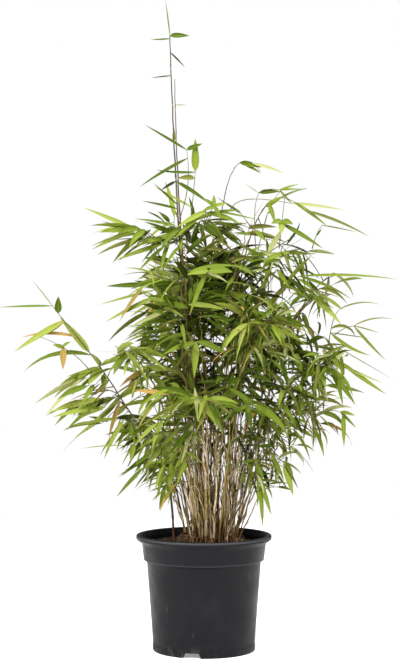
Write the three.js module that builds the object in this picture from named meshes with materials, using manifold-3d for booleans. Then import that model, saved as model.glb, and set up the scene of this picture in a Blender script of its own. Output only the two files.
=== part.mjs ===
// A clump-forming bamboo in a black nursery pot, in millimetres, +Z up.
// The origin is the middle of the pot's flat underside; +X is the plant's right, -Y its front.
import * as THREE from "three";
import { mergeVertices } from "three/addons/utils/BufferGeometryUtils.js";
import Module from "manifold-3d";

const wasm = await Module();
wasm.setup();

const seatGap = 0.3; // between a piece and what carries it
const nearEnough = 1e-3; // vertices this close count as one
const weldTolerance = 0.1; // slivers left by the joins are welded away below this
const degree = Math.PI / 180;
const goldenAngle = 137.508 * degree;

const pot = {
  height: 161,
  lipRadius: 95,
  lipWidth: 6, // of the ring that the collar turns out to
  lipRound: 1.6, // how far that ring rounds down at its edges
  lipSkirt: 5, // depth of its outer edge
  lipDepth: 12, // from its top to where the collar begins below it
  collarRadius: 87,
  collarFootRadius: 84.3,
  shoulderHeight: 127, // foot of the collar
  shoulderStep: 3,
  bodyRadius: 80,
  footRadius: 71,
  wall: 2.2,
  footWidth: 8,
  footBead: 0.6,
  footBevel: 2,
  padRadius: 27, // the flat pad in the middle of the underside
  padFlare: 3,
  channelHeight: 8, // underside of the floor between the pad and the foot
  floorThickness: 2.5,
  segments: 32,
};
const notch = { count: 3, firstAngle: -104, width: 28, topWidth: 20, height: 7.2, depth: 16, outerEnd: 74 };
const soil = { rimHeight: 148, crownHeight: 153, crownRadius: 54, slopeRadius: 72 };

// The crown is an egg on which the culm tips are spread evenly, and the clump is an oval on the soil.
const crown = {
  x: 28,
  y: 0,
  z: 414,
  radiusX: 146,
  radiusY: 132,
  radiusZ: 200,
  lowest: 124 * degree, // how far down from its top the tips go
  reach: [0.9, 1.08],
  rise: [0.94, 1.04],
  drift: 7, // degrees that a tip may stray to either side
};
const clump = { culms: 15, x: 12, y: 0, radiusX: 38, radiusY: 31, turn: 40, seed: 7 };
const bend = { share: 0.42, height: 0.86, bow: 34 }; // where a clump culm's curve is drawn to
const culm = {
  radius: 2.1,
  radii: [0.85, 1.12], // shares of the radius that culms draw from
  tipShare: 0.76,
  flare: 1.3,
  flareHeight: 9,
  spare: 1.6,
  sides: 5,
  steps: 3,
};
const stem = { sides: 4, tipSpacing: 7, bareTop: 0.5, bareLow: 0.42 };
const twig = {
  length: 50,
  lengths: [0.75, 1.15], // shares of the length that twigs draw from
  taper: [1.1, 0.7], // from the mass's foot to its tip
  spacing: 19,
  radius: 0.9,
  tipRadius: 0.8,
  sides: 3,
  rise: [4, 44],
  upright: 0.38, // share of its stem's own direction in a twig's
  end: 2.5, // from its tip back to its first leaf
  leaves: 6,
};
const leaf = {
  length: 86,
  lengths: [0.82, 1.1],
  width: 15.5,
  widths: [0.85, 1.1],
  thickness: 1.9,
  leastThickness: 0.014, // as a share of the length
  spacing: 10,
  fan: [34, 62],
  endFan: [-8, 8],
  topFan: [42, 75], // of the leaves beside the one at a shoot's tip
  topDrop: [0, 40],
  roll: 65,
  arch: 0.045,
  widestAt: 0.36,
  thickestAt: 0.1,
  sink: 0.4,
  lowPitch: -40,
  highPitch: 12,
  sway: 22,
};
const leafScales = [1, 0.84, 0.7]; // tried in turn, so that a leaf is as large as its place allows
const leafNudges = [0, 1, -1, 2]; // turns of a leaf that are tried at each size
const nudgeTurn = 16;
const nudgeDip = 8;
const twigTries = 8;
const cellMargin = 2.4; // how much nearer to its own stem than to any other a leaf keeps
const limbMargin = 2.4; // from a culm's surface to a leaf or twig
const potMargin = 8;
const leafClearance = 3; // between the middle lines of two leaves
const twigClearance = 2.6;
const mostFaces = { twig: 32, leaf: 20 }; // that one piece may add: a piece that crosses others adds more
const axisSteps = 22;
const leafSight = 1.2 * leaf.length; // culms further than this from a leaf's middle can't touch it

// Shoots that stand out of the crown: foot on the soil, bend, tip, and how the top is dressed.
const standouts = [
  { name: "leader", foot: [-2, 6], bend: [-39, 8, 560], tip: [-48, 12, 862], bare: 0.84, facing: -90,
    spacing: 26, twigLength: 5, twigLeaves: 1, tipLeaves: 2, leafScale: 0.56, pitch: -6, fan: [70, 110] },
  { name: "leader_side", foot: [6, -12], bend: [-36, -14, 540], tip: [-41, -9, 792], bare: 0.72, facing: -90,
    spacing: 34, twigLength: 9, twigLeaves: 1, tipLeaves: 1, leafScale: 0.6, pitch: 4, fan: [60, 115] },
  { name: "left", foot: [-42, 4], bend: [-60, -4, 300], tip: [-195, -12, 460], bare: 0.5,
    spacing: 24, twigLength: 34, twigLeaves: 3, tipLeaves: 3, leafScale: 0.94, pitch: -22, fan: [10, 60] },
  { name: "left_top", foot: [-14, -14], bend: [-38, -8, 585], tip: [-90, -12, 588], bare: 0.74,
    spacing: 30, twigLength: 22, twigLeaves: 2, tipLeaves: 3, leafScale: 1.05, pitch: -6, fan: [10, 60] },
  { name: "right", foot: [44, -2], bend: [112, -6, 520], tip: [188, -16, 524], bare: 0.66,
    spacing: 30, twigLength: 30, twigLeaves: 3, tipLeaves: 3, leafScale: 0.98, pitch: -20, fan: [10, 65] },
  { name: "arch_top", foot: [18, 20], bend: [-4, 26, 775], tip: [80, 24, 672], bare: 0.74,
    spacing: 34, twigLength: 20, twigLeaves: 2, tipLeaves: 3, leafScale: 0.72, pitch: -8, fan: [10, 60] },
  { name: "arch_back", foot: [38, 14], bend: [62, 36, 640], tip: [118, 48, 650], bare: 0.66,
    spacing: 32, twigLength: 26, twigLeaves: 3, tipLeaves: 3, leafScale: 0.76, pitch: -6, fan: [10, 70] },
  { name: "arch_right", foot: [32, -20], bend: [30, -34, 720], tip: [138, -44, 612], bare: 0.64,
    spacing: 32, twigLength: 26, twigLeaves: 3, tipLeaves: 3, leafScale: 0.85, pitch: -10, fan: [10, 60] },
];
// Shoots without leaves: culms that end inside the crown, and old ones that were cut short.
const bareSorts = [
  { name: "bare", count: 8, radius: 1.6, rise: [150, 240], bow: 5, firstAttempt: 0 },
  { name: "stub", count: 3, radius: 2.1, rise: [34, 62], bow: 0.5, firstAttempt: 1000 },
];
const bareReach = 0.95; // share of the clump's oval that their feet keep to
const bareLean = [12, 34];
const bareTries = 600;

const potLook = { color: 0x2b2a2c, roughness: 0.5 };
const soilLook = { color: 0x2a1b12, roughness: 0.95 };
const culmLook = { color: 0x8f8450, roughness: 0.55 };
const stubLook = { color: 0xb59b6c, roughness: 0.8 };
const foliageLook = { color: 0x5f8a2a, roughness: 0.6 };

// Labels of the draws, so that each value has a chance of its own.
const draw = {
  tipAngle: 1, tipReach: 2, tipHeight: 3, culmRadius: 4,
  leafLength: 11, leafWidth: 12, leafRoll: 13,
  twigAngle: 21, twigRise: 22, twigLength: 23, leafFan: 24, leafPitch: 25,
  topFan: 31, topPitch: 32, topLeaf: 33,
  bareReach: 41, bareAngle: 42, bareLean: 43, bareRise: 44,
};

// A number from 0 to 1 that depends only on the seed and the keys.
function chance(...keys) {
  let h = clump.seed;
  for (const key of keys) {
    h = Math.imul(h ^ key, 0x9e3779b1);
    h ^= h >>> 15;
    h = Math.imul(h, 0x85ebca6b);
    h ^= h >>> 13;
  }
  return (h >>> 0) / 2 ** 32;
}
const between = (low, high, ...keys) => low + (high - low) * chance(...keys);
const mix = (a, b, t) => a + (b - a) * t;
const clamp = (t) => Math.min(1, Math.max(0, t));
const heading = (angle, pitch) =>
  new THREE.Vector3(Math.cos(angle) * Math.cos(pitch), Math.sin(angle) * Math.cos(pitch), Math.sin(pitch));

// ---- from three.js geometry to solids and back ----

function solidFrom(geometry) {
  const bare = geometry.index ? geometry.toNonIndexed() : geometry.clone();
  bare.deleteAttribute("normal");
  bare.deleteAttribute("uv");
  const merged = mergeVertices(bare, 1e-4);
  const mesh = new wasm.Mesh({
    numProp: 3,
    vertProperties: new Float32Array(merged.attributes.position.array),
    triVerts: new Uint32Array(merged.index.array),
  });
  return new wasm.Manifold(mesh);
}

function geometryFrom(solid) {
  const mesh = solid.getMesh();
  const points = new Float32Array(mesh.numVert * 3);
  for (let i = 0; i < mesh.numVert; i++) {
    points.set(mesh.vertProperties.subarray(i * mesh.numProp, i * mesh.numProp + 3), i * 3);
  }
  const geometry = new THREE.BufferGeometry();
  geometry.setAttribute("position", new THREE.BufferAttribute(points, 3));
  geometry.setIndex(new THREE.BufferAttribute(new Uint32Array(mesh.triVerts), 1));
  geometry.computeVertexNormals();
  return geometry;
}

// True where every edge has two faces once vertices that lie very close are merged.
function isTidy(solid) {
  const bare = geometryFrom(solid).toNonIndexed();
  bare.deleteAttribute("normal");
  const { array } = mergeVertices(bare, nearEnough).index;
  const uses = new Map();
  for (let i = 0; i < array.length; i += 3) {
    const corners = [array[i], array[i + 1], array[i + 2]];
    if (new Set(corners).size < 3) continue;
    corners.forEach((corner, n) => {
      const next = corners[(n + 1) % 3];
      const edge = `${Math.min(corner, next)} ${Math.max(corner, next)}`;
      uses.set(edge, (uses.get(edge) ?? 0) + 1);
    });
  }
  return [...uses.values()].every((count) => count === 2);
}

// ---- shapes ----

// A tapering limb: a capped cylinder whose rings are carried along a curve. flatFoot cuts its foot level.
function limb(curve, radiusAt, stops, sides, flatFoot = false) {
  const geometry = new THREE.CylinderGeometry(1, 1, 1, sides, stops.length - 1);
  const place = geometry.attributes.position;
  const side = curve.getTangent(0.5).cross(new THREE.Vector3(0, 0, 1));
  if (side.length() < nearEnough) side.set(1, 0, 0);
  side.normalize();
  for (let i = 0; i < place.count; i++) {
    const stop = stops[Math.round((place.getY(i) + 0.5) * (stops.length - 1))];
    const along = curve.getTangent(stop);
    const across = side.clone().addScaledVector(along, -side.dot(along)).normalize();
    const over = along.clone().cross(across);
    const radius = radiusAt(stop);
    const point = curve.getPoint(stop);
    point.addScaledVector(across, -place.getX(i) * radius).addScaledVector(over, place.getZ(i) * radius);
    if (flatFoot && stop === 0) point.addScaledVector(along, (curve.getPoint(0).z - point.z) / along.z);
    place.setXYZ(i, point.x, point.y, point.z);
  }
  return solidFrom(geometry);
}

// Gives a leaf's corners: end -1 is its root, 1 its tip, and 0 the widest place, where side 0 is the keel.
function leafShape(root, tip, across, width, thickness, arch) {
  const chord = tip.clone().sub(root);
  const up = across.clone().cross(chord).normalize();
  if (up.z < 0) up.negate();
  return (end, side) => {
    const share = end < 0 ? 0 : end > 0 ? 1 : side ? leaf.widestAt : leaf.thickestAt;
    const rise = 4 * share * (1 - share) * arch - (end || side ? 0 : thickness);
    const middle = root.clone().addScaledVector(chord, share);
    return middle.addScaledVector(up, rise).addScaledVector(across, (end ? 0 : side * width) / 2);
  };
}

// A leaf blade: a three-cornered spindle, flat above and keeled below.
function blade(cornerAt) {
  const spindle = [-1, 0, 1].map((end) => new THREE.Vector2(end ? 0 : 1, end));
  const geometry = new THREE.LatheGeometry(spindle, 3);
  const place = geometry.attributes.position;
  for (let i = 0; i < place.count; i++) {
    const corner = cornerAt(Math.round(place.getY(i)), Math.sign(Math.round(place.getX(i) * 2)));
    place.setXYZ(i, corner.x, corner.y, corner.z);
  }
  return solidFrom(geometry);
}

const lathe = (profile) => {
  const points = profile.map(([radius, height]) => new THREE.Vector2(radius, height));
  return solidFrom(new THREE.LatheGeometry(points, pot.segments).rotateX(Math.PI / 2));
};

// ---- pot and soil ----

const floorTop = pot.channelHeight + pot.floorThickness;

function potSolid() {
  const inner = (radius) => radius - pot.wall;
  const channelOuter = pot.footRadius - pot.footWidth;
  const bead = pot.footRadius + pot.footBead;
  const made = lathe([
    [0, 0],
    [pot.padRadius, 0],
    [pot.padRadius + pot.padFlare, pot.channelHeight],
    [channelOuter, pot.channelHeight],
    [channelOuter, 0],
    [bead - pot.footBevel, 0],
    [bead, pot.footBevel],
    [bead, floorTop],
    [pot.bodyRadius, pot.shoulderHeight - pot.shoulderStep],
    [pot.collarFootRadius, pot.shoulderHeight],
    [pot.collarRadius, pot.height - pot.lipDepth],
    [pot.lipRadius, pot.height - pot.lipSkirt],
    [pot.lipRadius - pot.lipRound / 2, pot.height - pot.lipRound],
    [pot.lipRadius - pot.lipWidth / 2, pot.height],
    [pot.lipRadius - pot.lipWidth, pot.height - pot.lipRound],
    [inner(pot.collarRadius), pot.height - pot.lipDepth / 2],
    [inner(pot.collarFootRadius), pot.shoulderHeight + 1],
    [inner(pot.bodyRadius), pot.shoulderHeight - pot.shoulderStep - 1],
    [inner(pot.footRadius), floorTop],
    [0, floorTop],
  ]);
  return Array.from({ length: notch.count }, (_, i) => notchCutter(i)).reduce((a, b) => a.subtract(b), made);
}

// One of the notches that drain the foot, a wedge-sided arch set across it.
function notchCutter(i) {
  const arch = new THREE.Shape();
  arch.moveTo(-notch.width / 2, -1);
  arch.lineTo(notch.width / 2, -1);
  arch.lineTo(notch.topWidth / 2, notch.height);
  arch.lineTo(-notch.topWidth / 2, notch.height);
  arch.closePath();
  const cutter = new THREE.ExtrudeGeometry(arch, { depth: notch.depth, bevelEnabled: false });
  cutter.rotateX(Math.PI / 2).rotateZ(Math.PI / 2).translate(notch.outerEnd - notch.depth, 0, 0);
  cutter.rotateZ((notch.firstAngle + (i * 360) / notch.count) * degree);
  return solidFrom(cutter);
}

function soilSolid() {
  const inside = (radius, spare) => radius - pot.wall - seatGap - spare;
  return lathe([
    [0, floorTop + seatGap],
    [inside(pot.footRadius, 0.3), floorTop + seatGap],
    [inside(pot.bodyRadius, 0.5), pot.shoulderHeight - pot.shoulderStep - 2],
    [inside(pot.collarFootRadius, 0.5), pot.shoulderHeight + 2.5],
    [inside(pot.collarRadius, 1), soil.rimHeight],
    [soil.slopeRadius, soil.rimHeight + 0.8],
    [soil.crownRadius, soil.crownHeight],
    [0, soil.crownHeight],
  ]);
}

// ---- shoots: each is one curve from the soil to its tip, a bare culm below and a leafy mass above ----

const footAt = (x, y) => new THREE.Vector3(x, y, soil.crownHeight + seatGap);
function clumpFoot(reach, angle) {
  const x = clump.x + clump.radiusX * reach * Math.cos(angle);
  return footAt(x, clump.y + clump.radiusY * reach * Math.sin(angle));
}

function clumpShoot(k) {
  const share = (k + 0.5) / clump.culms;
  const fall = Math.acos(1 - share * (1 - Math.cos(crown.lowest)));
  const drift = between(-crown.drift, crown.drift, k, draw.tipAngle);
  const angle = k * goldenAngle + (clump.turn + drift) * degree;
  const reach = between(...crown.reach, k, draw.tipReach) * Math.sin(fall);
  const rise = between(...crown.rise, k, draw.tipHeight) * Math.cos(fall);
  const tip = new THREE.Vector3(
    crown.x + crown.radiusX * reach * Math.cos(angle),
    crown.y + crown.radiusY * reach * Math.sin(angle),
    crown.z + crown.radiusZ * rise,
  );
  const foot = clumpFoot(Math.sqrt(share), angle);
  const drawnTo = new THREE.Vector3(
    mix(foot.x, tip.x, bend.share),
    mix(foot.y, tip.y, bend.share),
    mix(foot.z, tip.z, bend.height) + bend.bow * Math.sin(fall),
  );
  return {
    name: String(k + 1).padStart(2, "0"),
    leafy: true,
    curve: new THREE.QuadraticBezierCurve3(foot, drawnTo, tip),
    bare: mix(stem.bareTop, stem.bareLow, share),
    radius: culm.radius * between(...culm.radii, k, draw.culmRadius),
    angle,
    fan: [10, mix(165, 100, clamp(share * 1.6))],
    spacing: twig.spacing,
    twigLength: twig.length,
    twigLeaves: twig.leaves,
    tipLeaves: 3,
    leafScale: 1,
  };
}

function standoutShoot(s) {
  const foot = footAt(...s.foot);
  const tip = new THREE.Vector3(...s.tip);
  const angle = s.facing ? s.facing * degree : Math.atan2(tip.y - foot.y, tip.x - foot.x);
  const curve = new THREE.QuadraticBezierCurve3(foot, new THREE.Vector3(...s.bend), tip);
  return { ...s, leafy: true, radius: culm.radius, angle, curve };
}

// A shoot without leaves, which leans outwards from a chosen place.
function bareShoot(name, sort, attempt) {
  const angle = 2 * Math.PI * chance(attempt, draw.bareAngle);
  const reach = bareReach * Math.sqrt(chance(attempt, draw.bareReach));
  const foot = clumpFoot(reach, angle);
  const lean = reach * between(...bareLean, attempt, draw.bareLean) * degree;
  const rise = between(...sort.rise, attempt, draw.bareRise);
  const tip = foot.clone().addScaledVector(heading(angle, Math.PI / 2 - lean), rise);
  const drawnTo = foot.clone().lerp(tip, 0.5).add(new THREE.Vector3(0, 0, sort.bow));
  const curve = new THREE.QuadraticBezierCurve3(foot, drawnTo, tip);
  return { name, curve, bare: 1, radius: sort.radius, leafy: false, cut: sort.name === "stub" };
}

function withAxes(shoot) {
  const run = shoot.curve.getLength();
  const massStart = shoot.bare + seatGap / run;
  const culmAxis = spansOf(shoot.curve, 0, shoot.bare);
  const massAxis = shoot.leafy ? spansOf(shoot.curve, massStart, 1) : [];
  return { ...shoot, run, massStart, culmAxis, massAxis };
}

function spansOf(curve, from, to) {
  const steps = Math.max(3, Math.round(axisSteps * (to - from)));
  const points = Array.from({ length: steps + 1 }, (_, i) => curve.getPoint(mix(from, to, i / steps)));
  return points.slice(1).map((point, i) => new THREE.Line3(points[i], point));
}

const gapBetween = (span, other) => Math.sqrt(span.distanceSqToLine3(other));
const axisGap = (axis, other) =>
  Math.min(...axis.flatMap((span) => other.map((far) => gapBetween(span, far))));

const clumpShoots = Array.from({ length: clump.culms }, (_, k) => clumpShoot(k));
const shoots = [...clumpShoots, ...standouts.map(standoutShoot)].map(withAxes);
for (const sort of bareSorts) {
  for (let [made, attempt] = [0, 0]; made < sort.count && attempt < bareTries; attempt++) {
    const shoot = withAxes(bareShoot(`${sort.name}_${made + 1}`, sort, attempt + sort.firstAttempt));
    const room = (s) => axisGap(shoot.culmAxis, [...s.culmAxis, ...s.massAxis]) - s.radius - shoot.radius;
    if (shoots.some((s) => room(s) < culm.spare)) continue;
    shoots.push(shoot);
    made += 1;
  }
}

const culmRadius = (shoot, t) => shoot.radius * mix(1, culm.tipShare, t) * (t === 0 ? culm.flare : 1);

function culmSolid(shoot) {
  const flareShare = culm.flareHeight / shoot.run;
  const stops = [0, flareShare];
  for (let i = 1; i <= culm.steps; i++) stops.push(mix(flareShare, shoot.bare, i / culm.steps));
  return limb(shoot.curve, (t) => culmRadius(shoot, t), stops, culm.sides, true);
}

// ---- masses: a stem, its twigs and their leaves, fused one by one within the mass's own space ----

function distanceToAxis(point, axis) {
  const nearest = new THREE.Vector3();
  return Math.min(...axis.map((span) => span.closestPointToPoint(point, true, nearest).distanceTo(point)));
}

// True where the point is outside the pot and nearer to its own mass's stem than to any other's.
function keepsToCell(point, own) {
  const nearPot = Math.hypot(point.x, point.y) < pot.lipRadius + potMargin;
  if (nearPot && point.z < pot.height + potMargin) return false;
  const mine = distanceToAxis(point, shoots[own].massAxis);
  const others = shoots.filter((s, n) => n !== own && s.leafy);
  return others.every((s) => distanceToAxis(point, s.massAxis) > mine + cellMargin);
}

function clearsCulms(spans) {
  const middle = spans[0].getCenter(new THREE.Vector3());
  return shoots.every((s) => {
    if (distanceToAxis(middle, s.culmAxis) > leafSight) return true;
    return s.culmAxis.every((axis) => spans.every((span) => gapBetween(span, axis) > s.radius + limbMargin));
  });
}

// Fuses a piece to its mass. A piece that crosses more than its own seat costs more faces and is turned down.
function fuse(mass, solid, limit) {
  const joined = mass.body.add(solid).simplify(weldTolerance);
  if (joined.numTri() - mass.body.numTri() > limit) return false;
  if (joined.decompose().length > 1 || !isTidy(joined)) return false;
  mass.body = joined;
  return true;
}

// A leaf of a given place and size, or null where it would leave its mass, touch a culm or cross another.
function placeLeaf(mass, base, angle, pitch, roll, scale, slimness) {
  const length = leaf.length * scale;
  const along = heading(angle, pitch);
  const root = base.clone().addScaledVector(along, -leaf.sink);
  const tip = root.clone().addScaledVector(along, length);
  const across = new THREE.Vector3(0, 0, 1).cross(along).normalize().applyAxisAngle(along, roll);
  const width = leaf.width * Math.sqrt(scale) * slimness;
  const thickness = Math.max(leaf.thickness * scale, leaf.leastThickness * length);
  const cornerAt = leafShape(root, tip, across, width, thickness, leaf.arch * length);
  const edges = [-1, 1].flatMap((side) => {
    const edge = cornerAt(0, side);
    return [new THREE.Line3(edge, tip), new THREE.Line3(root, edge)];
  });
  const pointsAt = (share) => edges.map((edge) => edge.at(share, new THREE.Vector3()));
  if (![0.25, 0.5, 0.75, 1].flatMap(pointsAt).every((point) => keepsToCell(point, mass.own))) return null;
  const spine = new THREE.Line3(root.clone().lerp(tip, 0.22), tip);
  if (mass.spines.some((other) => gapBetween(spine, other) < leafClearance)) return null;
  if (mass.twigs.some((other) => gapBetween(spine, other) < twigClearance)) return null;
  if (!clearsCulms([spine, ...edges])) return null;
  return { spine, solid: blade(cornerAt) };
}

// Adds the largest leaf that fits, turned a little where it has to be.
function fitLeaf(mass, base, angle, pitch, side, ...keys) {
  const roll = between(-leaf.roll, leaf.roll, ...keys, draw.leafRoll) * degree;
  const slimness = between(...leaf.widths, ...keys, draw.leafWidth);
  const size = shoots[mass.own].leafScale * between(...leaf.lengths, ...keys, draw.leafLength);
  for (const scale of leafScales) {
    for (const nudge of leafNudges) {
      const turned = angle + side * nudge * nudgeTurn * degree;
      const tilted = pitch - Math.abs(nudge) * nudgeDip * degree;
      const made = placeLeaf(mass, base, turned, tilted, roll, size * scale, slimness);
      if (!made || !fuse(mass, made.solid, mostFaces.leaf)) continue;
      mass.spines.push(made.spine);
      mass.leaves += 1;
      return;
    }
  }
}

function addTipLeaves(mass, shoot) {
  const [below, top] = mass.rings.slice(-2);
  const back = below.clone().sub(top).normalize();
  const angle = Math.atan2(-back.y, -back.x);
  const pitch = Math.asin(-back.z);
  for (let i = 0; i < shoot.tipLeaves; i++) {
    const keys = [mass.own, i];
    const turn = i % 2 ? 1 : -1;
    const fan = i ? turn * between(...leaf.topFan, ...keys, draw.topFan) * degree : 0;
    const drop = i ? pitch / 2 + between(...leaf.topDrop, ...keys, draw.topPitch) * degree : 0;
    const root = top.clone().addScaledVector(back, twig.end + stem.tipSpacing * i);
    fitLeaf(mass, root, angle + fan, pitch - drop, turn, ...keys, draw.topLeaf);
  }
}

// Adds the first of a few tried twigs at a joint of the stem that fits and takes leaves.
function addTwig(mass, shoot, j) {
  const [from, to] = [mass.rings[j], mass.rings[j + 1]];
  const base = from.clone().lerp(to, 0.5);
  const along = to.clone().sub(from).normalize();
  const height = clamp((base.z - crown.z + crown.radiusZ) / (2 * crown.radiusZ));
  const leafPitch = shoot.pitch ?? mix(leaf.lowPitch, leaf.highPitch, height);
  const side = (j + mass.own) % 2 ? 1 : -1;
  const taper = mix(...twig.taper, j / (mass.rings.length - 1));
  for (let attempt = 0; attempt < twigTries; attempt++) {
    const keys = [mass.own, j, attempt];
    const flip = attempt % 2 ? -side : side;
    const angle = shoot.angle + flip * between(...shoot.fan, ...keys, draw.twigAngle) * degree;
    const direction = heading(angle, between(...twig.rise, ...keys, draw.twigRise) * degree);
    direction.lerp(along, twig.upright).normalize();
    const length = shoot.twigLength * taper * between(...twig.lengths, ...keys, draw.twigLength);
    const way = new THREE.LineCurve3(base, base.clone().addScaledVector(direction, length));
    if (![0.4, 0.7, 1].every((share) => keepsToCell(way.getPoint(share), mass.own))) continue;
    const span = new THREE.Line3(way.getPoint(0.3), way.getPoint(1));
    const crosses = mass.spines.some((other) => gapBetween(span, other) < twigClearance);
    if (crosses || !clearsCulms([span])) continue;
    const before = { body: mass.body, leaves: mass.leaves };
    const made = limb(way, (t) => mix(twig.radius, twig.tipRadius, t), [0, 1], twig.sides);
    if (!fuse(mass, made, mostFaces.twig)) continue;
    for (let i = 0; i < shoot.twigLeaves; i++) {
      const turn = i % 2 ? 1 : -1;
      const fan = turn * between(...(i ? leaf.fan : leaf.endFan), ...keys, i, draw.leafFan);
      const root = way.getPoint(Math.max(0.25, 1 - (leaf.spacing * i + twig.end) / length));
      const pitch = leafPitch + between(-leaf.sway, leaf.sway, ...keys, i, draw.leafPitch);
      fitLeaf(mass, root, angle + fan * degree, pitch * degree, turn, ...keys, i);
    }
    if (mass.leaves > before.leaves) {
      mass.twigs.push(span);
      return;
    }
    mass.body = before.body;
  }
}

function growMass(own) {
  const shoot = shoots[own];
  const joints = Math.max(2, Math.round((shoot.run * (1 - shoot.massStart)) / shoot.spacing));
  const stops = Array.from({ length: joints + 1 }, (_, i) => mix(shoot.massStart, 1, i / joints));
  const body = limb(shoot.curve, (t) => culmRadius(shoot, t), stops, stem.sides);
  const rings = stops.map((stop) => shoot.curve.getPoint(stop));
  const mass = { own, rings, body, spines: [], twigs: [], leaves: 0 };
  addTipLeaves(mass, shoot);
  for (let j = joints - 1; j >= 0; j--) addTwig(mass, shoot, j);
  return mass.body;
}

// ---- the plant ----

function piece(name, solid, look) {
  const mesh = new THREE.Mesh(geometryFrom(solid), new THREE.MeshStandardMaterial({ ...look, metalness: 0 }));
  mesh.name = name;
  return mesh;
}

const plant = new THREE.Group();
plant.add(piece("pot", potSolid(), potLook));
plant.add(piece("soil", soilSolid(), soilLook));
shoots.forEach((shoot, own) => {
  plant.add(piece(`culm_${shoot.name}`, culmSolid(shoot), shoot.cut ? stubLook : culmLook));
  if (shoot.leafy) plant.add(piece(`foliage_${shoot.name}`, growMass(own), foliageLook));
});

export default plant;
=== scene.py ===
# A young bamboo in a black nursery pot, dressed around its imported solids.
# Metres, +Z up, the front towards -Y. The culms, twigs and leaves grow by the same seeded rule as the solids.
import math

import bmesh
import bpy
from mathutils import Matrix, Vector, geometry, noise


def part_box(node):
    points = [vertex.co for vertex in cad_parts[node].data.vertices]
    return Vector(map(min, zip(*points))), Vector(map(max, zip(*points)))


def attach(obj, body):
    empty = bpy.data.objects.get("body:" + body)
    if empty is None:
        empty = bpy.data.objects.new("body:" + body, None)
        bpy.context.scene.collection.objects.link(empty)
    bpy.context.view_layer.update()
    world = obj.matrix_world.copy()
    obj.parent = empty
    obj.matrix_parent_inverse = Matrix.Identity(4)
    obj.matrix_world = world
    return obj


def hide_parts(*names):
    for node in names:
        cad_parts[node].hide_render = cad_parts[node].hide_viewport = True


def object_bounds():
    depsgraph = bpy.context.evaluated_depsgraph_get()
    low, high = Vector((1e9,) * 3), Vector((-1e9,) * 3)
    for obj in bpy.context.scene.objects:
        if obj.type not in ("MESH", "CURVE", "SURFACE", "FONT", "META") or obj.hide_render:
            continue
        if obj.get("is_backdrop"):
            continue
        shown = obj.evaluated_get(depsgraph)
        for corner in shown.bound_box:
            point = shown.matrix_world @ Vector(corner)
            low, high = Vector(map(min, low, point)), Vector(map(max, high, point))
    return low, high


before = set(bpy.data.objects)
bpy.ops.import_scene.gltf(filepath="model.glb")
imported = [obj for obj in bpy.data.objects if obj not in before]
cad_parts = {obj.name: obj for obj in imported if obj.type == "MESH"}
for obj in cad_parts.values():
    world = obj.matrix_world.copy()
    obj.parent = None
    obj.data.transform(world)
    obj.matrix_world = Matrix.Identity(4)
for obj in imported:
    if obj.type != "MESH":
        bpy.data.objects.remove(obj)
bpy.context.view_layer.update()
potHigh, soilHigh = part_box("pot")[1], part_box("soil")[1]
nodeNames = sorted(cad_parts)
print("frame loaded:", len(nodeNames), "nodes")

plantSeed = 7


def chance(*keys):  # a number from 0 to 1 by the seed and the keys; the last key only tells draws apart
    h = plantSeed
    for key in keys:
        h = ((h ^ key) * 0x9E3779B1) & 0xFFFFFFFF  # the odd factors stir the bits
        h ^= h >> 15
        h = (h * 0x85EBCA6B) & 0xFFFFFFFF
        h ^= h >> 13
    return h / 2**32


def between(low, high, *keys):
    return low + (high - low) * chance(*keys)


def mix(a, b, t):
    return a + (b - a) * t


def mixed(colour, other, share):
    return [mix(a, b, share) for a, b in zip(colour, other)]


def clamp(t):
    return min(1.0, max(0.0, t))


def remapped(value, low, high):
    return clamp((value - low) / (high - low))


def shares(count):  # 0 to 1 in equal steps
    return [i / count for i in range(count + 1)]


def heading(angle, pitch):  # a unit vector, both angles in radians
    flat = math.cos(pitch)
    return Vector((math.cos(angle) * flat, math.sin(angle) * flat, math.sin(pitch)))


def upwards(height):
    return Vector((0, 0, height))


def newObject(name, data):
    made = bpy.data.objects.new(name, data)
    bpy.context.scene.collection.objects.link(made)
    return made


def meshOf(shape, name):  # ends a bmesh, with its faces turned outwards
    bmesh.ops.recalc_face_normals(shape, faces=shape.faces)
    mesh = bpy.data.meshes.new(name)
    shape.to_mesh(mesh)
    shape.free()
    return mesh


def put(tree, kind, inputs=None, **settings):  # adds a node; an input is a value or another node's socket
    node = tree.nodes.new(kind)
    for key, value in settings.items():
        setattr(node, key, value)
    for key, value in (inputs or {}).items():
        if isinstance(value, bpy.types.NodeSocket):
            tree.links.new(value, node.inputs[key])
        else:
            node.inputs[key].default_value = value
    return node


def calc(tree, operation, a, b=0.0, limit=False):
    return put(tree, "ShaderNodeMath", {0: a, 1: b}, operation=operation, use_clamp=limit).outputs[0]


def product(tree, *factors):
    result = factors[0]
    for factor in factors[1:]:
        result = calc(tree, "MULTIPLY", result, factor)
    return result


def remap(tree, value, low, high, toLow=0.0, toHigh=1.0):  # a smooth step that stays within its ends
    inputs = {"Value": value, "From Min": low, "From Max": high, "To Min": toLow, "To Max": toHigh}
    return put(tree, "ShaderNodeMapRange", inputs, interpolation_type="SMOOTHSTEP").outputs["Result"]


def newTree(name, sockets):  # a geometry node tree that turns paths or faces into one joined mesh
    tree = bpy.data.node_groups.new(name, "GeometryNodeTree")
    tree.interface.new_socket("Geometry", in_out="INPUT", socket_type="NodeSocketGeometry")
    for label, (kind, value) in sockets.items():
        socket = tree.interface.new_socket(label, in_out="INPUT", socket_type="NodeSocket" + kind)
        if value is not None:
            socket.default_value = value
    tree.interface.new_socket("Geometry", in_out="OUTPUT", socket_type="NodeSocketGeometry")
    return tree, tree.nodes.new("NodeGroupInput").outputs


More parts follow.
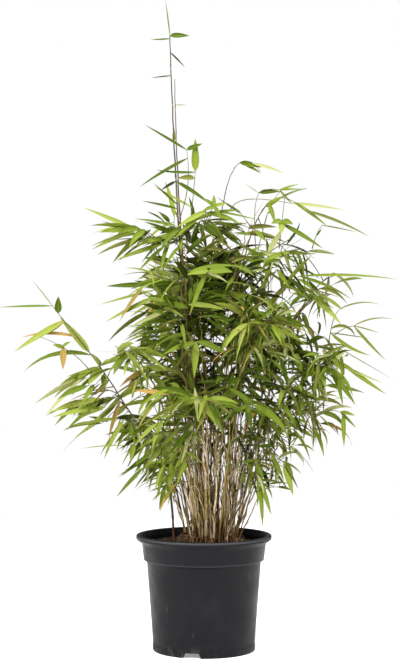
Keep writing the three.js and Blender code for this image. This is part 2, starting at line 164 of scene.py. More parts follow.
def endTree(tree, geometryOut, material):
    real = put(tree, "GeometryNodeRealizeInstances", {"Geometry": geometryOut})
    made = put(tree, "GeometryNodeSetMaterial", {"Geometry": real.outputs[0], "Material": material})
    put(tree, "NodeGroupOutput", {"Geometry": made.outputs[0]})
    return tree


def named(tree, name, kind="FLOAT"):
    return put(tree, "GeometryNodeInputNamedAttribute", {"Name": name}, data_type=kind).outputs["Attribute"]


def stored(tree, geometryOut, name, value):
    inputs = {"Geometry": geometryOut, "Name": name, "Value": value}
    return put(tree, "GeometryNodeStoreNamedAttribute", inputs, data_type="FLOAT", domain="POINT").outputs[0]


def bladeTree():  # a thin blade along each path: Wrap is how far its section bends round, in radians a side
    sockets = {"Wrap": ("Float", 0.5), "Points Across": ("Int", 5), "Material": ("Material", None)}
    tree, given = newTree("blades", sockets)
    paths = put(tree, "GeometryNodeMeshToCurve", {"Mesh": given["Geometry"]})
    facing = {"Curve": paths.outputs[0], "Normal": named(tree, "facing", "FLOAT_VECTOR")}
    turned = put(tree, "GeometryNodeSetCurveNormal", facing, mode="FREE")
    line = put(tree, "GeometryNodeCurvePrimitiveLine", {"Start": (0, -1, 0), "End": (0, 1, 0)})
    count = {"Curve": line.outputs[0], "Count": given["Points Across"]}
    section = put(tree, "GeometryNodeResampleCurve", count)
    place = put(tree, "GeometryNodeInputPosition").outputs[0]
    across = put(tree, "ShaderNodeSeparateXYZ", {0: place}).outputs["Y"]
    marked = stored(tree, section.outputs[0], "across", across)
    bent = product(tree, across, given["Wrap"])
    side = calc(tree, "DIVIDE", calc(tree, "SINE", bent), given["Wrap"])
    lift = calc(tree, "DIVIDE", calc(tree, "SUBTRACT", 1.0, calc(tree, "COSINE", bent)), given["Wrap"])
    bowed = put(tree, "ShaderNodeCombineXYZ", {"X": lift, "Y": side})
    profile = put(tree, "GeometryNodeSetPosition", {"Geometry": marked, "Position": bowed.outputs[0]})
    inputs = {"Curve": turned.outputs[0], "Profile Curve": profile.outputs[0], "Scale": named(tree, "radius")}
    blades = put(tree, "GeometryNodeCurveToMesh", inputs)
    return endTree(tree, blades.outputs[0], given["Material"])


def stemTree():  # a round stem along each path, with a swollen ring at each joint
    sockets = {
        "Ring Step": ("Float", 0.003),
        "Joint Spacing": ("Float", 0.05),
        "Joint Width": ("Float", 0.0022),
        "Swelling": ("Float", 0.25),
        "Sides": ("Int", 8),
        "Material": ("Material", None),
    }
    tree, given = newTree("stems", sockets)
    paths = put(tree, "GeometryNodeMeshToCurve", {"Mesh": given["Geometry"]})
    steps = {"Curve": paths.outputs[0], "Length": given["Ring Step"]}
    fine = put(tree, "GeometryNodeResampleCurve", steps, mode="LENGTH")
    run = put(tree, "GeometryNodeSplineParameter").outputs["Length"]
    shifted = calc(tree, "ADD", run, named(tree, "phase"))
    internodes = calc(tree, "DIVIDE", shifted, given["Joint Spacing"])
    share = calc(tree, "FRACT", internodes)
    nearest = calc(tree, "MINIMUM", share, calc(tree, "SUBTRACT", 1.0, share))
    away = product(tree, nearest, given["Joint Spacing"])
    ring = remap(tree, away, 0.0, given["Joint Width"], 1.0, 0.0)
    marked = stored(tree, stored(tree, fine.outputs[0], "ring", ring), "between", share)
    swollen = calc(tree, "ADD", 1.0, product(tree, ring, given["Swelling"]))
    scale = product(tree, named(tree, "radius"), swollen)
    circle = put(tree, "GeometryNodeCurvePrimitiveCircle", {"Resolution": given["Sides"], "Radius": 1.0})
    inputs = {"Curve": marked, "Profile Curve": circle.outputs[0], "Scale": scale, "Fill Caps": True}
    return endTree(tree, put(tree, "GeometryNodeCurveToMesh", inputs).outputs[0], given["Material"])


def crumbTree():  # small uneven lumps strewn over the faces
    sockets = {
        "Density": ("Float", 1000.0),
        "Least Size": ("Float", 0.001),
        "Most Size": ("Float", 0.003),
        "Flatness": ("Float", 0.7),
        "Seed": ("Int", 1),
        "Material": ("Material", None),
    }
    tree, given = newTree("crumbs", sockets)
    strewn = {"Mesh": given["Geometry"], "Density": given["Density"], "Seed": given["Seed"]}
    spots = put(tree, "GeometryNodeDistributePointsOnFaces", strewn)
    lump = put(tree, "GeometryNodeMeshIcoSphere", {"Radius": 1.0, "Subdivisions": 1})
    ranges = {"Min": (0.0, 0.0, 0.0), "Max": (6.28, 6.28, 6.28), "Seed": given["Seed"]}
    turn = put(tree, "FunctionNodeRandomValue", ranges, data_type="FLOAT_VECTOR").outputs["Value"]
    rotation = put(tree, "FunctionNodeEulerToRotation", {0: turn})
    size = put(tree, "FunctionNodeRandomValue", {"Seed": given["Seed"]}, data_type="FLOAT")
    tree.links.new(given["Least Size"], size.inputs[2])
    tree.links.new(given["Most Size"], size.inputs[3])
    width = size.outputs[1]
    flat = product(tree, width, given["Flatness"])
    scale = put(tree, "ShaderNodeCombineXYZ", {"X": width, "Y": product(tree, width, 0.75), "Z": flat})
    inputs = {
        "Points": spots.outputs["Points"],
        "Instance": lump.outputs[0],
        "Rotation": rotation.outputs[0],
        "Scale": scale.outputs[0],
    }
    return endTree(tree, put(tree, "GeometryNodeInstanceOnPoints", inputs).outputs[0], given["Material"])


def grown(name, mesh, tree, values):  # runs a tree on a mesh and keeps the plain result
    piece = newObject(name, mesh)
    modifier = piece.modifiers.new(tree.name, "NODES")
    modifier.node_group = tree
    for item in tree.interface.items_tree:
        if item.in_out == "INPUT" and item.name in values:
            modifier[item.identifier] = values[item.name]
    depsgraph = bpy.context.evaluated_depsgraph_get()
    evaluated = piece.evaluated_get(depsgraph)
    result = bpy.data.meshes.new_from_object(evaluated, preserve_all_data_layers=True, depsgraph=depsgraph)
    piece.modifiers.remove(modifier)
    piece.data = result
    result.name = name
    result.shade_smooth()
    return piece


def pathMesh(name, paths):  # paths as a mesh of edges, with what each tree reads as attributes
    points, edges = [], []
    for path in paths:
        first = len(points)
        points += path["points"]
        edges += [(i, i + 1) for i in range(first, len(points) - 1)]
    mesh = bpy.data.meshes.new(name + "Paths")
    mesh.from_pydata(points, edges, [])
    numbers = {
        "radius": [radius for path in paths for radius in path["radius"]],
        "along": [share for path in paths for share in shares(len(path["points"]) - 1)],
        "tone": [path["tone"] for path in paths for _ in path["points"]],
        "phase": [path.get("phase", 0.0) for path in paths for _ in path["points"]],
    }
    for label, values in numbers.items():
        mesh.attributes.new(label, "FLOAT", "POINT").data.foreach_set("value", values)
    facing = [c for path in paths for v in path.get("facing", path["points"]) for c in v]
    mesh.attributes.new("facing", "FLOAT_VECTOR", "POINT").data.foreach_set("vector", facing)
    return mesh


def finishPiece(piece, nodes=()):
    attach(piece, "root")
    if nodes:
        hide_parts(*nodes)
    piece.data.calc_loop_triangles()
    print(" ", piece.name, len(piece.data.loop_triangles), "triangles")
    return piece


blades, stems, crumbs = bladeTree(), stemTree(), crumbTree()
print("node trees made")


def newMaterial(name, **sockets):  # a Principled surface; uniform numbers go straight on its sockets
    material = bpy.data.materials.new(name)
    material.use_nodes = True
    tree = material.node_tree
    shader = tree.nodes["Principled BSDF"]
    for label, value in sockets.items():
        shader.inputs[label.replace("_", " ")].default_value = value
    return material, tree, shader


def attribute(tree, name):
    return put(tree, "ShaderNodeAttribute", attribute_name=name).outputs["Fac"]


def blend(tree, share, a, b):
    node = put(tree, "ShaderNodeMix", {"Factor": share}, data_type="RGBA")
    for socket, value in ((node.inputs[6], a), (node.inputs[7], b)):
        if isinstance(value, bpy.types.NodeSocket):
            tree.links.new(value, socket)
        else:
            socket.default_value = (*value, 1.0)
    return node.outputs[2]


def grain(tree, scale, detail=3.0, roughness=0.5, stretch=(1, 1, 1)):
    spot = put(tree, "ShaderNodeTexCoord").outputs["Object"]
    mapped = put(tree, "ShaderNodeMapping", {"Vector": spot, "Scale": stretch})
    inputs = {"Vector": mapped.outputs[0], "Scale": scale, "Detail": detail, "Roughness": roughness}
    return put(tree, "ShaderNodeTexNoise", inputs).outputs["Fac"]


def objectPlace(tree):  # the x, y and z of a point on the piece
    return put(tree, "ShaderNodeSeparateXYZ", {0: put(tree, "ShaderNodeTexCoord").outputs["Object"]}).outputs


def relief(tree, shader, height, distance, strength=1.0):
    bump = put(tree, "ShaderNodeBump", {"Height": height, "Distance": distance, "Strength": strength})
    tree.links.new(bump.outputs[0], shader.inputs["Normal"])


def paint(tree, shader, colour, rough=None):
    tree.links.new(colour, shader.inputs["Base Color"])
    if rough:
        tree.links.new(rough, shader.inputs["Roughness"])


def potPlastic():
    look = {
        "black": (0.0042, 0.0042, 0.0054),
        "worn": (0.009, 0.009, 0.011),
        "dust": (0.13, 0.12, 0.11),
        "soilMark": (0.05, 0.043, 0.037),
        "edge": (0.07, 0.07, 0.075),  # a painted highlight along the lip's top outer edge and round the collar's foot
        "highlightWidth": 0.0012,
        "dirtTop": 0.022,  # how high the dried soil reaches on the wall
        "dirtSides": (-0.06, 0.03),
        "wear": (22, 5, 0.6),  # each noise's scale, detail and roughness
        "scuffs": (60, 6, 0.7, (1, 1, 0.35)),
        "specks": (120, 4, 0.65),
        "gloss": (35, 4, 0.6),
        "relief": 0.00025,
    }
    material, tree, shader = newMaterial("blackPotPlastic", Specular_IOR_Level=0.12)
    x, y, z = objectPlace(tree)
    colour = blend(tree, remap(tree, grain(tree, *look["wear"]), 0.45, 0.8), look["black"], look["worn"])
    scuffs = remap(tree, grain(tree, *look["scuffs"]), 0.64, 0.74, 0.0, 0.5)
    colour = blend(tree, scuffs, colour, look["dust"])
    low = remap(tree, z, 0.0, look["dirtTop"], 1.0, 0.0)
    leftSide = remap(tree, x, *look["dirtSides"], 1.0, 0.15)
    dirt = product(tree, low, leftSide, remap(tree, grain(tree, *look["specks"]), 0.5, 0.62))
    colour = blend(tree, dirt, colour, look["soilMark"])
    away = calc(tree, "SQRT", calc(tree, "ADD", product(tree, x, x), product(tree, y, y)))
    # painted highlight: a lighter band along the lip's top outer edge and round the collar's foot
    lipHighlight = remap(tree, away, pot["lipRadius"] - look["highlightWidth"], pot["lipRadius"] - 0.0002, 0.0, 0.55)
    lipTop = remap(tree, z, pot["height"] - 0.0042, pot["height"] - 0.0025)
    fromShoulder = calc(tree, "ABSOLUTE", calc(tree, "SUBTRACT", z, pot["shoulderHeight"]))
    shoulderHighlight = remap(tree, fromShoulder, 0.0, look["highlightWidth"], 0.35, 0.0)
    paintedHighlight = calc(tree, "MAXIMUM", product(tree, lipHighlight, lipTop), shoulderHighlight)
    colour = blend(tree, paintedHighlight, colour, look["edge"])
    gloss = remap(tree, grain(tree, *look["gloss"]), 0.3, 0.7, 0.36, 0.5)
    paint(tree, shader, colour, calc(tree, "ADD", gloss, dirt, True))
    height = calc(tree, "ADD", grain(tree, 900, 2), product(tree, grain(tree, 90, 3), 0.8))
    relief(tree, shader, height, look["relief"], 0.5)
    return material


def earth(name, dark, light, scale):
    material, tree, shader = newMaterial(name, Roughness=0.92, Specular_IOR_Level=0.25)
    paint(tree, shader, blend(tree, remap(tree, grain(tree, scale, 5, 0.7), 0.35, 0.65), dark, light))
    relief(tree, shader, grain(tree, scale * 3, 4, 0.7), 0.001, 0.8)
    return material


# The skins of culms and twigs. Low and high are pairs of colours that the tones run between, at the foot and
# above it. The high colours are greener and for most skins darker: partly the upper culms' own colour, partly
# painted shade inside the crown.
culmLooks = {
    "culms": {
        "name": "strawCulm",
        "low": ((0.36, 0.25, 0.07), (0.016, 0.009, 0.002)),
        "high": ((0.24, 0.2, 0.035), (0.014, 0.016, 0.002)),
        "ring": (0.045, 0.022, 0.008),
        "rough": 0.55,
        "slot": "culm",
    },
    "darkCulms": {
        "name": "darkCulm",
        "low": ((0.035, 0.016, 0.012), (0.055, 0.026, 0.018)),
        "high": ((0.09, 0.06, 0.04), (0.11, 0.07, 0.05)),
        "ring": (0.14, 0.085, 0.06),
        "rough": 0.4,
        "slot": "dark_culm",
    },
    "leaderCulms": {
        "name": "leaderCulm",
        "low": ((0.1, 0.08, 0.02), (0.07, 0.06, 0.015)),
        "high": ((0.062, 0.042, 0.04), (0.08, 0.052, 0.048)),
        "ring": (0.04, 0.024, 0.018),
        "rough": 0.4,
        "change": (0.36, 0.46),
        "slot": "dark_culm",
    },
    "culmStubs": {
        "name": "dryCulm",
        "low": ((0.46, 0.31, 0.13), (0.28, 0.15, 0.06)),
        "high": ((0.46, 0.32, 0.14), (0.3, 0.18, 0.07)),
        "ring": (0.14, 0.075, 0.03),
        "rough": 0.65,
        "slot": "dry_culm",
    },
    "thinStalks": {
        "name": "stalkSkin",
        "low": ((0.5, 0.36, 0.13), (0.012, 0.006, 0.002)),
        "high": ((0.3, 0.23, 0.06), (0.01, 0.008, 0.002)),
        "ring": (0.04, 0.02, 0.008),
        "rough": 0.6,
        "slot": "culm",
    },
    "twigs": {
        "name": "twigSkin",
        "low": ((0.13, 0.13, 0.04), (0.1, 0.08, 0.03)),
        "high": ((0.14, 0.15, 0.045), (0.1, 0.09, 0.04)),
        "ring": (0.08, 0.05, 0.025),
        "rough": 0.45,
    },
}
culmSurface = {
    "change": (0.02, 0.24),  # between which heights above the soil the low colours turn into the high ones
    "blotches": (160, 4, 0.6, (1, 1, 0.25)),
    "gloss": (300, 3),
    "fibres": (1500, 2, 0.5, (1, 1, 0.04)),
    "bloom": (0.46, 0.4, 0.22),  # pale wax under each joint
    # darker and redder just above the soil: partly the feet's own colour, partly painted shade between them
    "foot": (0.1, 0.042, 0.015),
    "footHeight": 0.035,
}


def culmSkin(look):
    material, tree, shader = newMaterial(look["name"], Specular_IOR_Level=0.12)
    tone, z = attribute(tree, "tone"), objectPlace(tree)["Z"]
    lowest, highest = [soilHigh.z + rise for rise in look.get("change", culmSurface["change"])]
    height = remap(tree, z, lowest, highest)
    # greener and mostly darker higher up: partly the culms' own colour, partly painted shade inside the crown
    colour = blend(tree, height, blend(tree, tone, *look["low"]), blend(tree, tone, *look["high"]))
    blotch = remap(tree, grain(tree, *culmSurface["blotches"]), 0.42, 0.62, 0.0, 0.75)
    colour = blend(tree, blotch, colour, blend(tree, 0.5, look["ring"], look["low"][0]))
    colour = blend(tree, product(tree, attribute(tree, "ring"), 0.75), colour, look["ring"])
    bloom = remap(tree, attribute(tree, "between"), 0.86, 0.98, 0.0, 0.3)
    colour = blend(tree, bloom, colour, culmSurface["bloom"])
    # painted shade between the culms' feet, with their own redder colour, just above the soil
    foot = remap(tree, z, soilHigh.z, soilHigh.z + culmSurface["footHeight"], 0.75, 0.0)
    colour = blend(tree, foot, colour, culmSurface["foot"])
    smooth, rough = look["rough"] - 0.1, look["rough"] + 0.1
    paint(tree, shader, colour, remap(tree, grain(tree, *culmSurface["gloss"]), 0.3, 0.7, smooth, rough))
    relief(tree, shader, grain(tree, *culmSurface["fibres"]), 0.00012, 0.6)
    return material


def papery(name, pale, dark):
    material, tree, shader = newMaterial(name, Roughness=0.7, Specular_IOR_Level=0.3)
    streak = grain(tree, 500, 4, 0.6, (1, 1, 0.08))
    colour = blend(tree, remap(tree, streak, 0.35, 0.7), pale, dark)
    paint(tree, shader, blend(tree, product(tree, attribute(tree, "tone"), 0.6), colour, dark))
    relief(tree, shader, streak, 0.0004, 0.7)
    return material


def leafSkin(name, colour, second, tip, tipFrom):
    look = {"veins": 44.0, "midrib": 0.07, "pale": (0.5, 0.5, 0.25), "gloss": (140, 3)}
    material, tree, shader = newMaterial(name, Specular_IOR_Level=0.05)
    across, along = attribute(tree, "across"), attribute(tree, "along")
    shade = blend(tree, attribute(tree, "tone"), colour, second)
    rib = remap(tree, calc(tree, "ABSOLUTE", across), look["midrib"] * 0.4, look["midrib"], 0.55, 0.0)
    shade = blend(tree, rib, shade, mixed(colour, look["pale"], 0.3))
    shade = blend(tree, remap(tree, along, tipFrom, 1.0), shade, tip)
    paint(tree, shader, shade, remap(tree, grain(tree, *look["gloss"]), 0.3, 0.7, 0.38, 0.55))
    relief(tree, shader, calc(tree, "SINE", product(tree, across, look["veins"])), 0.00002, 0.5)
    return material


pot = {
    "lipRadius": potHigh.x,
    "height": potHigh.z,
    "lipWidth": 0.0065,
    "lipSkirt": 0.0055,  # depth of the lip's outer edge
    "lipDepth": 0.012,  # from its top to where the collar begins below it
    "collarRadius": 0.087,
    "collarFootRadius": 0.0843,
    "shoulderHeight": 0.127,
    "shoulderStep": 0.003,
    "bodyRadius": 0.08,
    "footRadius": 0.071,
    "footBead": 0.0006,
    "footHeight": 0.009,
    "footWidth": 0.008,
    "wall": 0.0016,
    "floorTop": 0.0105,
    "channelHeight": 0.008,
    "padRadius": 0.027,
    "segments": 144,
}
notch = {
    "count": 3,
    "firstAngle": -104,
    "width": 0.028,
    "topWidth": 0.02,
    "height": 0.0072,
    "below": 0.002,  # how far the cutter starts under the foot
    "reach": 0.012,
}


def rounded(corners):  # (radius, height, fillet) corners of a profile, with each fillet drawn as an arc
    line = []
    for i, (r, z, fillet) in enumerate(corners):
        here = Vector((r, z))
        if not fillet or i in (0, len(corners) - 1):
            line.append(here)
            continue
        before = (Vector(corners[i - 1][:2]) - here).normalized()
        after = (Vector(corners[i + 1][:2]) - here).normalized()
        half = before.angle(after) / 2
        middle = here + (before + after).normalized() * fillet / math.sin(half)
        start, end = here + before * fillet / math.tan(half), here + after * fillet / math.tan(half)
        for step in range(5):
            spoke = (start - middle).normalized().slerp((end - middle).normalized(), step / 4)
            line.append(middle + spoke * fillet)
    return line


def lathed(name, profile, segments, dent=None):  # a closed turned shape; dent moves each of its points
    shape = bmesh.new()
    rings = []
    for r, z in profile:
        if r < 1e-6:
            rings.append([shape.verts.new((0, 0, z))])
            continue
        turns = [2 * math.pi * i / segments for i in range(segments)]
        rings.append([shape.verts.new((r * math.cos(a), r * math.sin(a), z)) for a in turns])
    for low, high in zip(rings, rings[1:]):
        for i in range(segments):
            j = (i + 1) % segments
            corners = [low[i % len(low)], low[j % len(low)], high[j % len(high)], high[i % len(high)]]
            shape.faces.new(list(dict.fromkeys(corners)))
    if dent:
        for vert in shape.verts:
            vert.co += dent(vert.co)
    mesh = meshOf(shape, name)
    mesh.shade_smooth()
    return mesh


def notchCutters():  # wedge-sided arches across the foot, where water drains
    shape = bmesh.new()
    half, top = notch["width"] / 2, notch["topWidth"] / 2
    foot, roof = -notch["below"], notch["height"]
    outline = [(-half, foot), (half, foot), (top, roof), (-top, roof)]
    for i in range(notch["count"]):
        turn = math.radians(notch["firstAngle"] + i * 360 / notch["count"])
        out, side = Vector((math.cos(turn), math.sin(turn), 0)), Vector((-math.sin(turn), math.cos(turn), 0))
        ends = []
        for reach in (-notch["reach"], notch["reach"] / 3):
            middle = out * (pot["footRadius"] + reach)
            corners = [middle + side * across + upwards(up) for across, up in outline]
            ends.append([shape.verts.new(corner) for corner in corners])
        inner, outer = ends
        shape.faces.new(inner)
        shape.faces.new(outer)
        for a in range(4):
            b = (a + 1) % 4
            shape.faces.new((inner[a], inner[b], outer[b], outer[a]))
    return newObject("notchCutters", meshOf(shape, "notchCutters"))


def makePot():
    p = pot
    outer = p["footRadius"] + p["footBead"]
    channel = p["footRadius"] - p["footWidth"]
    profile = rounded([
        (0, 0, 0),
        (p["padRadius"], 0, 0.0008),
        (p["padRadius"] + 0.003, p["channelHeight"], 0.001),
        (channel, p["channelHeight"], 0.001),
        (channel, 0, 0.001),
        (outer, 0, 0.0018),
        (outer, p["footHeight"], 0.0006),
        (p["footRadius"] + 0.0002, p["footHeight"] + 0.0014, 0.0008),
        (p["bodyRadius"], p["shoulderHeight"] - p["shoulderStep"], 0.0012),
        (p["collarFootRadius"], p["shoulderHeight"] - 0.0006, 0.001),
        (p["collarRadius"], p["height"] - p["lipDepth"], 0.004),
        (p["lipRadius"], p["height"] - p["lipSkirt"], 0.0012),
        (p["lipRadius"], p["height"], 0.0022),
        (p["lipRadius"] - p["lipWidth"], p["height"], 0.0026),
        (p["collarRadius"] - p["wall"], p["height"] - p["lipDepth"] / 1.5, 0.003),
        (p["collarFootRadius"] - p["wall"], p["shoulderHeight"] + 0.001, 0.001),
        (p["bodyRadius"] - p["wall"], p["shoulderHeight"] - p["shoulderStep"], 0.0012),
        (p["footRadius"] - p["wall"], p["floorTop"], 0.001),
        (0, p["floorTop"], 0),
    ])
    piece = newObject("potShell", lathed("potShell", profile, p["segments"]))
    cutter = notchCutters()
    cut = piece.modifiers.new("notches", "BOOLEAN")
    cut.operation, cut.solver, cut.object = "DIFFERENCE", "EXACT", cutter
    depsgraph = bpy.context.evaluated_depsgraph_get()
    piece.data = bpy.data.meshes.new_from_object(piece.evaluated_get(depsgraph))
    piece.modifiers.remove(cut)
    bpy.data.objects.remove(cutter)
    piece.data.name = "potShell"
    piece.data.materials.clear()
    piece.data.materials.append(potPlastic())
    piece.data.set_sharp_from_angle(angle=math.radians(40))
    return finishPiece(piece, ["pot"])


makePot()
print("pot made")

soil = {
    "top": soilHigh.z - 0.0015,
    "rimTop": soilHigh.z - 0.006,
    "rings": 15,
    "segments": 96,
    "lumps": 0.0022,  # how far the crust goes up and down
    "lumpPattern": 90,
    "wallGap": 0.0003,
    "earth": ("pottingMix", (0.005, 0.003, 0.002), (0.022, 0.012, 0.007), 260),
    "strewn": {
        "soilCrumbs": {
            "values": {
                "Density": 62000.0,
                "Least Size": 0.0005,
                "Most Size": 0.0016,
                "Flatness": 0.7,
                "Seed": 3,
            },
            "earth": ("darkCrumbs", (0.006, 0.0035, 0.002), (0.03, 0.016, 0.009), 400),
        },
        "barkBits": {
            "values": {
                "Density": 4500.0,
                "Least Size": 0.001,
                "Most Size": 0.0032,
                "Flatness": 0.35,
                "Seed": 5,
            },
            "earth": ("reddishBark", (0.03, 0.011, 0.005), (0.14, 0.055, 0.025), 300),
        },
    },
}


def makeSoil():
    inner = pot["collarRadius"] - pot["wall"] - 0.0016
    low = pot["bodyRadius"] - pot["wall"] - 0.0008
    rings = soil["rings"]
    top = [(inner * i / rings, mix(soil["top"], soil["rimTop"], (i / rings) ** 3)) for i in range(rings + 1)]
    down = [
        (pot["collarFootRadius"] - pot["wall"] - 0.0008, pot["shoulderHeight"] + 0.002),
        (low, pot["shoulderHeight"] - 0.005),
        (pot["footRadius"] - pot["wall"] - 0.001, pot["floorTop"] + soil["wallGap"]),
        (0, pot["floorTop"] + soil["wallGap"]),
    ]

    def dent(co):
        if co.z < soil["rimTop"] - 0.001:
            return upwards(0)
        return upwards(noise.fractal(co * soil["lumpPattern"], 0.8, 2.1, 4) * soil["lumps"])

    piece = newObject("pottingSoil", lathed("pottingSoil", top + down, soil["segments"], dent))
    piece.data.materials.append(earth(*soil["earth"]))
    finishPiece(piece, ["soil"])

    crust = bmesh.new()  # only the faces of the top carry crumbs
    crust.from_mesh(piece.data)
    buried = [f for f in crust.faces if f.normal.z < 0.5 or f.calc_center_median().z < soil["rimTop"] - 0.003]
    bmesh.ops.delete(crust, geom=buried, context="FACES")
    for name, sort in soil["strewn"].items():
        mesh = bpy.data.meshes.new(name + "Ground")
        crust.to_mesh(mesh)
        bits = grown(name, mesh, crumbs, {**sort["values"], "Material": earth(*sort["earth"])})
        finishPiece(bits)
    crust.free()


makeSoil()
print("soil made")

# The shoots are the solids' own: each is one curve from the soil to its tip.
goldenAngle = math.radians(137.508)
seatGap = 0.0003
crown = {
    "x": 0.028,
    "y": 0.0,
    "z": 0.414,
    "radiusX": 0.146,
    "radiusY": 0.132,
    "radiusZ": 0.2,
    "lowest": math.radians(124),
    "reach": (0.9, 1.08),
    "rise": (0.94, 1.04),
    "drift": 7,
}
clump = {"culms": 15, "x": 0.012, "y": 0.0, "radiusX": 0.038, "radiusY": 0.031, "turn": 40}
bend = {"share": 0.42, "height": 0.86, "bow": 0.034}
twig = {
    "length": 0.05,
    "lengths": (0.75, 1.15),
    "taper": (1.1, 0.7),
    "spacing": 0.019,
    "rise": (4, 44),
    "upright": 0.38,
    "tries": 8,
    "checkedAt": (0.4, 0.7, 1),
    "bare": (0.5, 0.42),
    "cellMargin": 0.0024,
    "potMargin": 0.008,
    "radius": (0.0007, 0.0004),
    "fineRadius": (0.0004, 0.00028),
    "finerTurn": (30, 125),
    "finerRise": (-40, 60),
    "finerLength": (0.4, 0.8),
    "finerScale": 0.92,
    "sag": 0.14,  # how far a twig's end hangs, as a share of its length
    "values": {
        "Ring Step": 0.009, "Joint Spacing": 0.03, "Joint Width": 0.003, "Swelling": 0.3, "Sides": 5,
    },
}
standouts = [
    {"name": "leader", "foot": (-2, 6), "bend": (-39, 8, 560), "tip": (-48, 12, 862), "bare": 0.84,
     "tipRadius": 0.0007, "facing": -90, "spacing": 26, "twigLength": 5, "twigLeaves": 0, "leafScale": 0.56,
     "pitch": -6, "fan": (70, 110)},
    {"name": "leader_side", "foot": (6, -12), "bend": (-36, -14, 540), "tip": (-41, -9, 792), "bare": 0.72,
     "facing": -90, "spacing": 34, "twigLength": 9, "twigLeaves": 0, "leafScale": 0.6, "pitch": 4,
     "fan": (60, 115), "twigsTo": 0.4},
    {"name": "left", "foot": (-42, 4), "bend": (-60, -4, 300), "tip": (-195, -12, 460), "bare": 0.5,
     "bow": 0.01, "spacing": 24, "twigLength": 34, "twigLeaves": 3, "leafScale": 0.94, "pitch": -22,
     "fan": (10, 60), "twigsTo": 0.5},
    {"name": "left_top", "foot": (-14, -14), "bend": (-38, -8, 585), "tip": (-90, -12, 588), "bare": 0.74,
     "spacing": 30, "twigLength": 22, "twigLeaves": 3, "tipLeaves": 3, "leafScale": 1.05, "pitch": -6,
     "fan": (10, 60)},
    {"name": "right", "foot": (44, -2), "bend": (112, -6, 520), "tip": (188, -16, 524), "bare": 0.66,
     "spacing": 30, "twigLength": 30, "twigLeaves": 2, "leafScale": 0.98, "pitch": -20, "fan": (10, 65),
     "twigsTo": 0.7},
    {"name": "arch_top", "girth": 0.75, "foot": (18, 20), "bend": (-4, 26, 775), "tip": (80, 24, 672),
     "bare": 0.74, "spacing": 34, "twigLength": 20, "twigLeaves": 0, "leafScale": 0.72, "pitch": -8,
     "fan": (10, 60)},
    {"name": "arch_back", "girth": 0.7, "foot": (38, 14), "bend": (62, 36, 640), "tip": (118, 48, 650),
     "bare": 0.66, "spacing": 32, "twigLength": 26, "twigLeaves": 1, "leafScale": 0.7, "pitch": -6,
     "fan": (10, 70), "twigsTo": 0.2},
    {"name": "arch_right", "girth": 0.7, "foot": (32, -20), "bend": (30, -34, 720), "tip": (138, -44, 612),
     "bare": 0.64, "spacing": 32, "twigLength": 26, "twigLeaves": 2, "leafScale": 0.85, "pitch": -4,
     "fan": (10, 60), "twigsTo": 0.35},
]


def pointAt(line, t):
    a, b, c = line
    return a * (1 - t) ** 2 + b * (2 * t * (1 - t)) + c * (t * t)


def slopeAt(line, t):
    a, b, c = line
    return ((b - a) * (1 - t) + (c - b) * t).normalized()


def footAt(x, y):
    return Vector((x, y, soilHigh.z + seatGap))


def inClump(angle, out):  # a place in the clump's oval: out is 0 at its middle and 1 at its edge
    x = clump["x"] + clump["radiusX"] * out * math.cos(angle)
    return x, clump["y"] + clump["radiusY"] * out * math.sin(angle)


def clumpShoot(k):
    share = (k + 0.5) / clump["culms"]
    fall = math.acos(1 - share * (1 - math.cos(crown["lowest"])))
    drift = between(-crown["drift"], crown["drift"], k, 1)
    angle = k * goldenAngle + math.radians(clump["turn"] + drift)
    reach = between(*crown["reach"], k, 2) * math.sin(fall)
    rise = between(*crown["rise"], k, 3) * math.cos(fall)
    tip = Vector((
        crown["x"] + crown["radiusX"] * reach * math.cos(angle),
        crown["y"] + crown["radiusY"] * reach * math.sin(angle),
        crown["z"] + crown["radiusZ"] * rise,
    ))
    foot = footAt(*inClump(angle, math.sqrt(share)))
    drawnTo = foot.lerp(tip, bend["share"])
    drawnTo.z = mix(foot.z, tip.z, bend["height"]) + bend["bow"] * math.sin(fall)
    return {
        "name": f"{k + 1:02d}",
        "line": (foot, drawnTo, tip),
        "bare": mix(*twig["bare"], share),
        "angle": angle,
        "fan": (10, mix(165, 100, clamp(share * 1.6))),  # the top shoots' twigs go all ways
        "spacing": twig["spacing"],
        "twigLength": twig["length"],
    }


def standoutShoot(s):
    foot = footAt(*[v / 1000 for v in s["foot"]])
    drawnTo, tip = [Vector(s[key]) / 1000 for key in ("bend", "tip")]
    angle = math.radians(s["facing"]) if "facing" in s else math.atan2(tip.y - foot.y, tip.x - foot.x)
    sizes = {"spacing": s["spacing"] / 1000, "twigLength": s["twigLength"] / 1000}
    return {"tipLeaves": 0, "finer": 0, **s, **sizes, "line": (foot, drawnTo, tip), "angle": angle}


def measured(shoot):
    points = [pointAt(shoot["line"], share) for share in shares(200)]
    shoot["run"] = sum((b - a).length for a, b in zip(points, points[1:]))
    shoot["start"] = shoot["bare"] + seatGap / shoot["run"]
    shoot["axis"] = [pointAt(shoot["line"], mix(shoot["start"], 1, share)) for share in shares(12)]
    return shoot


shoots = [measured(clumpShoot(k)) for k in range(clump["culms"])]
shoots += [measured(standoutShoot(s)) for s in standouts]


def axisDistance(point, axis):
    best = 1.0
    for a, b in zip(axis, axis[1:]):
        nearest, share = geometry.intersect_point_line(point, a, b)
        nearest = a if share < 0 else b if share > 1 else nearest
        best = min(best, (nearest - point).length)
    return best


def isAtPot(point, margin):
    return math.hypot(point.x, point.y) < pot["lipRadius"] + margin and point.z < pot["height"] + margin


def keepsToCell(point, own):  # clear of the pot, and nearer to its own shoot's stem than to any other's
    if isAtPot(point, twig["potMargin"]):
        return False
    mine = axisDistance(point, shoots[own]["axis"])
    others = (s for n, s in enumerate(shoots) if n != own)
    return all(axisDistance(point, s["axis"]) > mine + twig["cellMargin"] for s in others)


